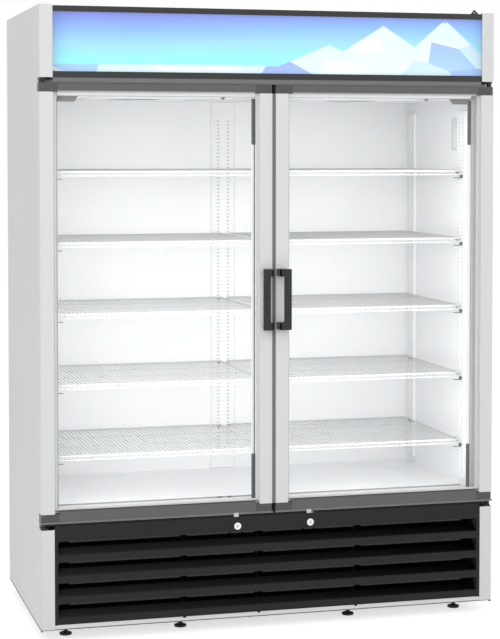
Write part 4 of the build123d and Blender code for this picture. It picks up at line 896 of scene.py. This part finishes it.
def fan_blades(reach, hub):
    """Airfoils from hub to tip: the chord grows with the radius, the pitch falls, and each wraps the axis."""
    count, pitch = 5, 34.0
    radius = np.linspace(hub - 2, reach, 9)[:, None]
    share = (radius - radius[0]) / (reach - radius[0])
    chord = reach * (0.24 + 0.34 * np.sin(share * 2.2)) * np.sqrt(np.clip(1.06 - share**6, 0.05, 1))
    angle = np.radians(pitch * (1 - 0.42 * share))
    turn = np.linspace(0, 2 * np.pi, 18, endpoint=False)[None]
    along = np.cos(turn) * chord
    thick = 0.9 * np.sin(turn) + chord * (0.1 * np.sin(turn) ** 2 - 0.05)
    around = (along * np.cos(angle) - thick * np.sin(angle)) / radius + share * 0.25
    lift = along * np.sin(angle) + thick * np.cos(angle)
    blades = []
    for number in range(count):
        wrap = around + number * 2 * np.pi / count
        blades.append(loft(np.stack((radius * np.cos(wrap), radius * np.sin(wrap), lift), axis=-1)))
    return joined(blades)


def fan_wheel(reach, hub, swell=1.0):
    """Five blades round a turned hub, whose radii are multiplied by the swell."""
    profile = np.array(((0, -15), (10, -14.6), (19, -11), (22, -6), (22, 12), (17, 18), (0, 18)))
    return fan_blades(reach, hub) + lathe(profile * (swell, 1), (0, 0, 0))


def fan_guard():
    """Rings of growing radius under a fan, with four spokes laid across them at even angles."""
    turn = np.linspace(0, 2 * np.pi, 56, endpoint=False)
    circle = np.column_stack((np.cos(turn), np.sin(turn), np.zeros(56)))
    wires = [rod(circle * radius, 1.3, loop=True) for radius in (18, 32, 46, 60, 74, 88, 98)]
    for angle in np.linspace(0, np.pi, 4, endpoint=False):
        end = np.array((math.cos(angle), math.sin(angle), 0)) * 99
        wires.append(rod((-end + (0, 0, 1.8), end + (0, 0, 1.8)), 1.6))
    return joined(wires)


def fin_pack(node, right, pitch):
    """Thin plates at one pitch from the coil's left end to its right, with an end plate on each side."""
    (left, _), depths, heights = cad_range(node)
    fin, end_plate, inset = 0.5, 1.5, 1.5
    plate = brick((0, fin), (depths[0] + inset, depths[1] - inset), (heights[0] + inset, heights[1] - inset))
    spots = np.zeros((int((right - left) / pitch) - 1, 3))
    spots[:, 0] = left + pitch * (1 + np.arange(len(spots)))
    left_end = brick((left, left + end_plate), depths, heights)
    right_end = brick((right - end_plate, right), depths, heights)
    return plate.at(spots) + left_end + right_end


def return_bend(x, out, first, second, radius):
    """Half a turn of tube between two points of a coil's end: an arc that reaches out along x by the radius."""
    tube, root = 4.6, (out * 4, 0, 0)
    turn = np.linspace(0, np.pi, 11)[:, None]
    first, second = np.array((x, *first), float), np.array((x, *second), float)
    middle = (first + second) / 2
    path = middle + (first - middle) * np.cos(turn) + np.array((out * radius, 0, 0)) * np.sin(turn)
    return rod(np.vstack((first - root, path, second - root)), tube, sides=12)


def coil_bends():
    """The return bends of both coils: each joins two rows of tube, by turns at the right and at the left."""
    bends = []
    for depth in (330, 394, 458, 522):
        bends.append(return_bend(EVAPORATOR_END, 1, (depth, 1945), (depth + 16, 1890), 12))
        bends.append(return_bend(-EVAPORATOR_END, -1, (depth, 1890), (depth + 16, 1945), 12))
    left = cad_range("condenser_coil")[0][0]
    for height in (84, 132, 180, 228, 276, 324):
        bends.append(return_bend(CONDENSER_END, 1, (152, height), (152, height + 24), 13))
        bends.append(return_bend(CONDENSER_END, 1, (180, height - 12), (180, height + 12), 13))
        bends.append(return_bend(left, -1, (166, height - 12), (166, height + 12), 13))
    return joined(bends)


def compressor_shape():
    """A welded shell on four mounts: its radius is a power of the cosine, and its height one of the sine."""
    x, depth, radius, middle = 400, 470, 92, 172
    turn = np.linspace(-np.pi / 2, np.pi / 2, 15)
    swell = np.sign(np.sin(turn)) * np.abs(np.sin(turn)) ** 0.8
    dome = np.column_stack((radius * np.cos(turn) ** 0.45, middle + 91 * swell))
    dome[0, 0] = dome[-1, 0] = 0
    seam = ((91, 186), (93, 187), (93.4, 189), (93, 191), (91, 192))
    shell = lathe(dome, (x, depth, 0), sides=48) + lathe(seam, (x, depth, 0), sides=48, ring=True)
    plate = bar(rounded(220, 200, 14) + (x, depth), 70, 73, 2)
    rubber = ((0, 60.5), (13, 60.5), (13, 64), (10, 66), (13, 68), (13, 72), (6, 74), (6, 80), (0, 80))
    spots = [(x + across, depth + back, 0) for across in (-90, 90) for back in (-80, 80)]
    mounts = lathe(rubber, (0, 0, 0)).at(spots)
    box = bar(rounded(56, 60, 6) + (x, 170), 366, 392, 1)
    return joined((shell, plate, mounts, box))


def screw(point, axis):
    """A pan-head screw: a low dome round the axis with a small recess at its middle."""
    profile = ((3.9, 0), (3.9, 0.35), (3.3, 0.85), (2.0, 1.1), (1.5, 1.1), (1.1, 0.3), (0, 0.2))
    return lathe(((0, 0), *profile), point, axis, sides=14)


# Parts of a door


def add_gasket(side):
    """A bulb section with waisted sides, carried round the back of the door."""
    body = f"door_{side}"
    node = f"{body}_gasket"
    x_range, _, z_range = cad_range(node)
    left_half = ((1.4, 49.7), (0.4, 49), (0.4, 45.8), (2.4, 44.2), (0, 42.6))
    right_half = ((11, 42.6), (8.6, 44.2), (10.6, 45.8), (10.6, 49), (9.6, 49.7))
    bulb = ((0, 40), (11, 40), *right_half, *left_half)
    piece(f"{side}_magnetic_gasket", border(bulb, x_range, z_range), "gasket", body, stands_for=[node])


def add_glazing_beads(side):
    """The beads along the four edges of the glass, wider at the hinges. The bead along the lower rail is dark:
    painted shade for the shadow line at the top of that rail.
    """
    covered = 8
    x_range, _, z_range = cad_range(f"door_{side}_glass")
    opening = ((x_range[0] + covered, x_range[1] - covered), (z_range[0] + covered, z_range[1] - covered))
    bead = ((0, 11.2), (2.2, 11.2), (3.2, 12), (0, 12))
    wide_bead = ((0, 11.9), (2.6, 11.9), (3.2, 10.9), (8.6, 10.9), (9.6, 12), (0, 12))
    hinge_edge, meeting_edge = (3, 1) if side == "left" else (1, 3)
    for place, number, profile, look in (
        ("hinge", hinge_edge, wide_bead, "white_plastic"),
        ("meeting", meeting_edge, bead, "white_plastic"),
        ("upper", 2, bead, "white_plastic"),
        # The lower bead is dark: painted shade for the shadow line at the top of the lower rail.
        ("lower", 0, bead, "dark_plastic"),
    ):
        piece(f"{side}_{place}_bead", border(profile, *opening, (number,)), look, f"door_{side}")


def add_edge_strips(side, sign):
    """The sloping lip along the lower rail, and the strip up the edge where the two doors meet."""
    body = f"door_{side}"
    (left, right), _, (bottom, top) = cad_range(f"{body}_corner_caps")
    lip = ((0.2, bottom + 6.5), (-1.3, bottom + 4.6), (-1.3, bottom + 0.4), (0.2, bottom + 0.4))
    piece(f"{side}_rail_lip", bar(lip, left, right, 0), "grey_trim", body)
    middle = min(left * sign, right * sign) * sign
    lap = {"left": 2.4, "right": 0.2}[side]
    edge = sorted((middle - sign * 4.3, middle + sign * lap))
    strip = brick(edge, (-0.4, 8), (bottom + 33, top - 30))
    piece(f"{side}_meeting_edge", strip, "grey_trim", body, bevel=0.3)


def add_handle_details(side, sign):
    """Strips on the handle's two feet, each a flat outline of x and depth carried up the foot."""
    body = f"door_{side}"
    _, _, (low, high) = cad_range(f"{body}_handle")
    feet = ((low + 0.6, low + 24.1), (high - 24.1, high - 0.6))
    near = {"left": 12.0, "right": 7.8}[side]
    core = ((near + 0.3, 0), (near + 0.3, -38.1), (near + 6.6, -44.4), (20, -44.4), (20, 0))
    chamfer = ((near + 0.1, -38.5), (near + 6.4, -44.8), (near + 6.9, -44.3), (near + 0.6, -38.0))
    end = ((near - 0.4, -37.4), (near + 0.4, -37.4), (near + 0.4, 0), (near - 0.4, 0))

    def on_feet(outline):
        """The outline carried up each foot."""
        return joined([bar(np.array(outline) * (sign, 1), *foot, 2) for foot in feet])

    if side == "right":
        piece("right_handle_toes", on_feet(core), "black_plastic", body, bevel=0.4)
    piece(f"{side}_handle_inserts", on_feet(chamfer), "filter_cloth", body)
    piece(f"{side}_handle_ends", on_feet(end), "dark_trim", body)


def add_lock_details(side, sign):
    """The keyhole's ring and slot in the cam lock, and the door's steel strike tab above it."""
    lock = f"lock_{side}"
    ring = lathe(((5.2, 0), (4.2, 0), (4.2, -0.5), (5.2, -0.5)), (0, 0, 0), (0, 1, 0), sides=28, ring=True)
    key_slot = bar(rounded(1.5, 6.4, 0.7), -0.5, 0, 1)
    _, (front, _), _ = cad_range(lock)
    keyhole = (ring + key_slot).at((sign * LOCK_X, front + 0.15, 357))
    piece(f"{side}_keyhole", keyhole, "grey_plastic", lock)
    tab = bar(rounded(17, 13.6, 1.5) + (sign * LOCK_X - 5, 395.4), -1.9, 0.4, 1)
    piece(f"{side}_strike_tab", tab, "zinc_steel", f"door_{side}", bevel=0.3)


# Parts of the stage


def add_floor(scene):
    """A wide flat square, pale enough to vanish into the background and to keep the shadow."""
    reach = 60
    mesh = bpy.data.meshes.new("floor")
    corners = [(-reach, -reach, 0), (reach, -reach, 0), (reach, reach, 0), (-reach, reach, 0)]
    mesh.from_pydata(corners, [], [(0, 1, 2, 3)])
    floor = bpy.data.objects.new("floor", mesh)
    scene.collection.objects.link(floor)
    finish = Finish("studio_floor")
    lift = finish.background() * 0.62
    mesh.materials.append(
        finish.done(
            base_color=finish.mix(finish.noise(0.8, 3.0), (0.74, 0.74, 0.74), (0.76, 0.76, 0.76)),
            roughness=0.9,
            specular_ior_level=0.0,
            emission_color=(1.0, 1.0, 1.0),
            emission_strength=lift,
        )
    )


def add_room(scene, ambient):
    """A white world that lights the cabinet at the ambient strength, and shows as plain white."""
    world = bpy.data.worlds.new("room")
    scene.world = world
    room = Nodes(world)
    glow = room.background() * (1.0 - ambient) + ambient
    sky = room.node("ShaderNodeBackground", {}, {"Color": (1, 1, 1, 1), "Strength": glow})
    room.node("ShaderNodeOutputWorld", {}, {"Surface": sky})


def add_lamp(scene, name, place, turn, size, power):
    """A soft rectangular lamp, its place and its two sides in metres, turned by three angles in degrees."""
    lamp = bpy.data.lights.new(name, "AREA")
    lamp.shape = "RECTANGLE"
    lamp.size, lamp.size_y = size
    lamp.energy = power
    holder = bpy.data.objects.new(name, lamp)
    holder.location = place
    holder.rotation_euler = [math.radians(angle) for angle in turn]
    scene.collection.objects.link(holder)


def add_camera(scene):
    """The photograph's camera. Its focal length and its centre are given in pixels of the photograph."""
    height, focal, centre_x, middle_x, sensor = 639, 1802.5, 247.05, 250, 36
    camera = bpy.data.cameras.new("camera")
    camera.lens = focal / height * sensor
    camera.sensor_width = sensor
    camera.shift_x = (middle_x - centre_x) / height
    camera.shift_y = -0.1493
    camera.clip_end = 100
    holder = bpy.data.objects.new("camera", camera)
    holder.location = (-1.6750, -6.1926, 1.6161)
    holder.rotation_euler = (math.radians(90 - 2.291), 0, math.radians(-15.176))
    scene.collection.objects.link(holder)
    scene.camera = holder


# Operators


class BuildFinishes(bpy.types.Operator):
    """Makes every material and lays it on the solids that keep their own shape"""

    bl_idname = "merchandiser.finishes"
    bl_label = "Finishes"

    def execute(self, context):
        finishes = make_finishes(context.scene)
        own_looks = {
            "header_frame": "header_paint",
            "lamp_end_caps": "lamp_cap",
            # The spacers' finish has a faint painted glow.
            "door_left_spacer": "spacer",
            "door_right_spacer": "spacer",
        }
        for part in frame["record"]["subparts"]:
            node = part["node"]
            mesh = frame["nodes"][node].data
            mesh.materials.clear()
            mesh.materials.append(finishes[own_looks.get(node, part["material_slot"])])
        return {"FINISHED"}


class BuildShelves(bpy.types.Operator):
    """Makes the ten wire shelves, each as its rods and its cross wires"""

    bl_idname = "merchandiser.shelves"
    bl_label = "Shelves"

    def execute(self, context):
        for side, _ in SIDES:
            for tier in TIERS:
                node = f"shelf_{side}_{tier}"
                wires, rods = wire_shelf(node, context.scene.merchandiser_shelves)
                piece(f"wire_shelf_{side}_{tier}", rods, "shelf_wire", stands_for=[node], smooth=50)
                piece(f"cross_wires_{side}_{tier}", wires, "fine_wire", smooth=50)
        return {"FINISHED"}


class BuildShelfSupports(bpy.types.Operator):
    """Makes the slotted pilasters, the wide channel behind the rear one, and the hooks in their slots"""

    bl_idname = "merchandiser.shelf_supports"
    bl_label = "Shelf supports"

    def execute(self, context):
        slot_pitch = context.scene.merchandiser_shelves.slot_pitch * 1000
        places = [((0, REAR), (1, 0), (0, -1)), ((0, 116), (-1, 0), (0, 1))]
        for depth in (146, 655):
            places.append(((-WALL, depth), (0, 1), (1, 0)))
            places.append(((WALL, depth), (0, -1), (-1, 0)))
        channels = joined([slotted_channel(*place, slot_pitch) for place in places])
        piece("slotted_pilasters", channels, "white_liner", stands_for=["shelf_pilasters"], wall=1.4)
        # Painted shade: grey strips behind the slots stand for the shade inside the pilasters.
        slot_shades = joined([slot_shade_strip(*place) for place in places])
        piece("pilaster_slot_shades", slot_shades, "gasket")
        wide = bar(((-49, REAR + 0.4), (-42, 694.2), (42, 694.2), (49, REAR + 0.4)), 432, 1800.5, 2)
        piece("back_channel", wide, "white_liner", bevel=0.8)
        hooks = joined([tier_hooks(top) for top in SHELF_TOPS])
        node = "shelf_clips"
        piece("shelf_hooks", hooks, "dark_plastic", stands_for=[node], bevel=0.4)
        return {"FINISHED"}


class BuildGrille(bpy.types.Operator):
    """Makes the louvred base grille, the filter mat and ribs behind it, and the rolled hem of the base"""

    bl_idname = "merchandiser.grille"
    bl_label = "Base grille"

    def execute(self, context):
        moulding = grille_moulding(context.scene.merchandiser_grille)
        piece("louvred_grille", moulding, "grille_plastic", stands_for=["front_grille"], bevel=0.35)
        filter_mat = pleated_mat((-738, 738), (46, 62), (62, 340), pitch=7.0)
        ribs = brick((-1.5, 1.5), (28, 46.5), (66, 336)).at([(x, 0, 0) for x in RIBS])
        piece("air_filter", filter_mat + ribs, "filter_cloth")
        (left, right), _, (bottom, _) = cad_range("base_frame")
        hem = ((3, bottom), (1.7, bottom + 0.8), (1.4, bottom + 3), (1.7, bottom + 5.2), (3, bottom + 6))
        piece("base_hem", bar(hem, left + POST, right - POST, 0), "white_enamel", smooth=60)
        return {"FINISHED"}


class BuildFeet(bpy.types.Operator):
    """Makes the eight levelling feet with their threaded stems"""

    bl_idname = "merchandiser.feet"
    bl_label = "Levelling feet"

    def execute(self, context):
        (left, right), (front, rear), _ = cad_range("levelling_feet")
        inset, inner_x = 19.5, 300.5
        across = (left + inset, -inner_x, inner_x, right - inset)
        spots = [(x, depth, 0) for x in across for depth in (front + inset, rear - inset)]
        node = "levelling_feet"
        feet = foot_shape().at(spots)
        piece("turned_feet", feet, "black_enamel", stands_for=[node], smooth=35)
        return {"FINISHED"}


class BuildDoorFittings(bpy.types.Operator):
    """Makes each door's gasket, glazing beads, edge strips, handle details, keyhole and strike tab"""

    bl_idname = "merchandiser.door_fittings"
    bl_label = "Door fittings"

    def execute(self, context):
        for side, sign in SIDES:
            add_gasket(side)
            add_glazing_beads(side)
            add_edge_strips(side, sign)
            add_handle_details(side, sign)
            add_lock_details(side, sign)
        return {"FINISHED"}


class BuildFittings(bpy.types.Operator):
    """Makes the seal under the header, the sensor cover on the right wall and the two door switches"""

    bl_idname = "merchandiser.fittings"
    bl_label = "Small fittings"

    def execute(self, context):
        (left, right), (front, _), (bottom, _) = cad_range("header_trim")
        seal = np.array(((-3, -0.9), (2, -0.9), (2, 2), (-1, 2))) + (front, bottom)
        piece("header_seal", bar(seal, left, right, 0), "grey_trim")
        depth, middle, thickness = 215, 1680, 13
        cover = bar(rounded(17, 112, 4) + (depth, middle), WALL - thickness, WALL - 0.2, 0)
        rib = brick((WALL - thickness - 1, WALL - thickness + 0.2), (depth - 6, depth + 6), (0, 2.4))
        ribs = rib.at([(0, 0, height) for height in np.arange(middle - 40, middle + 32, 9)])
        piece("sensor_cover", cover + ribs, "gasket", bevel=0.8)
        plunger = ((0, 0), (8, 0), (8, -3), (5, -4), (4, -8), (0, -8.6))
        switches = lathe(plunger, (0, 60, 1800), sides=20).at(((-162.5, 0, 0), (565.5, 0, 0)))
        piece("door_switches", switches, "grey_plastic", smooth=35)
        return {"FINISHED"}


class BuildLampStrips(bpy.types.Operator):
    """Makes the strips over and under the doorways, the upper one with a painted glow, those that close the
    upright lamps at their sides, and thin black strips of painted shade beside the lamps
    """

    bl_idname = "merchandiser.lamp_strips"
    bl_label = "Lamp strips"

    def execute(self, context):
        outer, inner = WALL - 10.5, 41
        for name, look, depths, heights in (
            # The upper strip's glow is painted light on the shaded frame face over the doorway.
            ("upper_joint_strip", "painted_glow_strip", (48.7, 49.9), (1802.5, 1819)),
            ("lower_joint_strip", "grey_plastic", (126, 129), (431.4, 435.6)),
        ):
            piece(name, brick((-outer, -inner), depths, heights).doubled(), look)
        lens, lamp, shade_line_depths = (590, 1641), (437.2, 1795.8), (57.6, 59.7)
        piece("lamp_baffle", brick((-737.4, -725.2), (57, 59.8), lamp), "white_plastic", bevel=0.5)
        for name, look, slot, ranges in (
            ("lens_wings", "lamp_lens", "lamp_lens", (lens,)),
            ("cap_wings", "lamp_cap", "dark_plastic", ((437, lens[0]), (lens[1], 1796))),
        ):
            wings = joined([brick((-61, -51.7), (60.4, 70), heights) for heights in ranges])
            piece(name, wings.doubled(), look)
        # Painted shade: thin black strips stand for the shadow gaps beside the lamps.
        shade_lines = brick((-55, -52), shade_line_depths, lens) + brick((-45.6, -44), shade_line_depths, lamp)
        piece("lamp_shade_lines", shade_lines.doubled(), "black_plastic")
        return {"FINISHED"}


class BuildBaseTrims(bpy.types.Operator):
    """Makes the seal over the grille, the dark edges along the base and the clips on the sill"""

    bl_idname = "merchandiser.base_trims"
    bl_label = "Base trims"

    def execute(self, context):
        seal = brick((15 - HALF, HALF - 15), (4.5, 9), (389.6, 393.8))
        piece("sill_seal", seal, "grille_plastic", bevel=0.3)
        (left, _), (front, rear), (bottom, _) = cad_range("side_panel_left")
        side_edge = brick((left + 0.3, left + 5), (front + 4, rear - 3), (bottom - 7, bottom + 0.2))
        post_edge = brick((left + 5, left + POST), (front + 0.4, front + 4), (bottom - 2.2, bottom + 0.2))
        pan_edge = brick((left + POST, -left - POST), (1.8, 4), (bottom - 2.2, bottom - 0.2))
        piece("base_edge_trims", (side_edge + post_edge).doubled() + pan_edge, "dark_trim")
        clips = bar(rounded(15, 6, 2.5) + (0, 127.5), 431, 435.6, 2).at(((-156.3, 0, 0), (-123.3, 0, 0)))
        piece("sill_clips", clips, "dark_plastic", bevel=0.5)
        return {"FINISHED"}


class BuildGuards(bpy.types.Operator):
    """Makes the wire guards under the two evaporator fans"""

    bl_idname = "merchandiser.guards"
    bl_label = "Fan guards"

    def execute(self, context):
        spots = [(sign * FAN_X, FAN_DEPTH, 1804.5) for _, sign in SIDES]
        piece("fan_guards", fan_guard().at(spots), "shelf_wire", smooth=50)
        return {"FINISHED"}


class BuildScrews(bpy.types.Operator):
    """Makes the screws that hold the back sheet and the top sheet"""

    bl_idname = "merchandiser.screws"
    bl_label = "Screws"

    def execute(self, context):
        (left, right), (_, rear), (bottom, top) = cad_range("back_panel")
        sides = (left + 30, right - 30)
        rows = (bottom + 14, 386, top - 14)
        spots = [(x, z) for x in np.linspace(*sides, 8) for z in rows]
        spots += [(x, z) for z in np.linspace(bottom + 200, top - 200, 6) for x in sides]
        screws = [screw((x, rear, z), (0, 1, 0)) for x, z in spots]
        (left, right), (front, rear), (_, top) = cad_range("top_panel")
        for x in np.linspace(left + 25, right - 25, 7):
            for depth in (front + 20, rear - 20):
                screws.append(screw((x, depth, top), (0, 0, 1)))
        piece("panel_screws", joined(screws), "zinc_steel", smooth=35)
        return {"FINISHED"}


class BuildCoils(bpy.types.Operator):
    """Makes the finned evaporator and condenser coils with their return bends"""

    bl_idname = "merchandiser.coils"
    bl_label = "Coils"

    def execute(self, context):
        coils = (("evaporator_coil", EVAPORATOR_END, 5.0), ("condenser_coil", CONDENSER_END, 3.2))
        for node, right, pitch in coils:
            piece(f"finned_{node}", fin_pack(node, right, pitch), "aluminium", stands_for=[node])
        piece("return_bends", coil_bends(), "copper", smooth=40)
        return {"FINISHED"}


class BuildCompressor(bpy.types.Operator):
    """Makes the compressor's shell on its plate and mounts"""

    bl_idname = "merchandiser.compressor"
    bl_label = "Compressor"

    def execute(self, context):
        piece("compressor_shell", compressor_shape(), "black_enamel", stands_for=["compressor"], smooth=40)
        return {"FINISHED"}


class BuildFans(bpy.types.Operator):
    """Makes the two evaporator fans and the condenser fan"""

    bl_idname = "merchandiser.fans"
    bl_label = "Fans"

    def execute(self, context):
        for side, sign in SIDES:
            node = f"evaporator_fan_{side}"
            wheel = fan_wheel(88, 22).at((sign * FAN_X, FAN_DEPTH, 1836))
            piece(f"{side}_ceiling_fan", wheel, "grey_plastic", node, stands_for=[node], smooth=40)
        node = "condenser_fan"
        wheel = fan_wheel(118, 28, 1.27).laid_back().at((-200, 224, 206.25))
        piece("condenser_fan_wheel", wheel, "grey_plastic", node, stands_for=[node], smooth=40)
        return {"FINISHED"}


class BuildStage(bpy.types.Operator):
    """Makes the pale floor, the room's light, the soft lamps and the camera"""

    bl_idname = "merchandiser.stage"
    bl_label = "Stage"

    def execute(self, context):
        scene = context.scene
        light = scene.merchandiser_light
        add_floor(scene)
        add_room(scene, light.ambient)
        add_lamp(scene, "front_lamp", (-2.6, -4.6, 3.0), (62, 0, -30), (3.2, 3.2), light.key)
        add_lamp(scene, "side_lamp", (4.2, -3.4, 2.6), (70, 0, 52), (2.6, 2.6), light.key * 0.45)
        bay_x, bay_depth, bay_height, bay_size = 0.372, (FACE + 82) / 1000, 1.115, (0.68, 1.3)
        for side, sign in SIDES:
            place = (sign * bay_x, bay_depth, bay_height)
            add_lamp(scene, f"{side}_bay_lamp", place, (90, 0, 0), bay_size, light.inside)
        add_camera(scene)
        scene.view_settings.view_transform = "Standard"
        return {"FINISHED"}


# The add-on


BUILDERS = (
    BuildFinishes,
    BuildShelves,
    BuildShelfSupports,
    BuildGrille,
    BuildFeet,
    BuildDoorFittings,
    BuildFittings,
    BuildLampStrips,
    BuildBaseTrims,
    BuildGuards,
    BuildScrews,
    BuildCoils,
    BuildCompressor,
    BuildFans,
    BuildStage,
)
SETTINGS = {
    "merchandiser_paint": MerchandiserPaint,
    "merchandiser_picture": MerchandiserPicture,
    "merchandiser_shelves": MerchandiserShelves,
    "merchandiser_grille": MerchandiserGrille,
    "merchandiser_light": MerchandiserLight,
}


class MerchandiserPanel(bpy.types.Panel):
    """Lists the cabinet's settings and the operators that build it"""

    bl_idname = "VIEW3D_PT_merchandiser"
    bl_label = "Glass door merchandiser"
    bl_space_type = "VIEW_3D"
    bl_region_type = "UI"
    bl_category = "Merchandiser"

    def draw(self, context):
        for name, kind in SETTINGS.items():
            settings = getattr(context.scene, name)
            for field in kind.__annotations__:
                self.layout.prop(settings, field)
        for builder in BUILDERS:
            self.layout.operator(builder.bl_idname)


def register():
    """Registers the settings, the operators and the panel."""
    for name, kind in SETTINGS.items():
        bpy.utils.register_class(kind)
        setattr(bpy.types.Scene, name, bpy.props.PointerProperty(type=kind))
    for kind in (*BUILDERS, MerchandiserPanel):
        bpy.utils.register_class(kind)


def unregister():
    """Takes them away again."""
    for kind in (MerchandiserPanel, *reversed(BUILDERS)):
        bpy.utils.unregister_class(kind)
    for name, kind in SETTINGS.items():
        delattr(bpy.types.Scene, name)
        bpy.utils.unregister_class(kind)


def main():
    """Builds everything in order."""
    register()
    for builder in BUILDERS:
        group, name = builder.bl_idname.split(".")
        getattr(getattr(bpy.ops, group), name)()


if __name__ == "__main__":
    main()
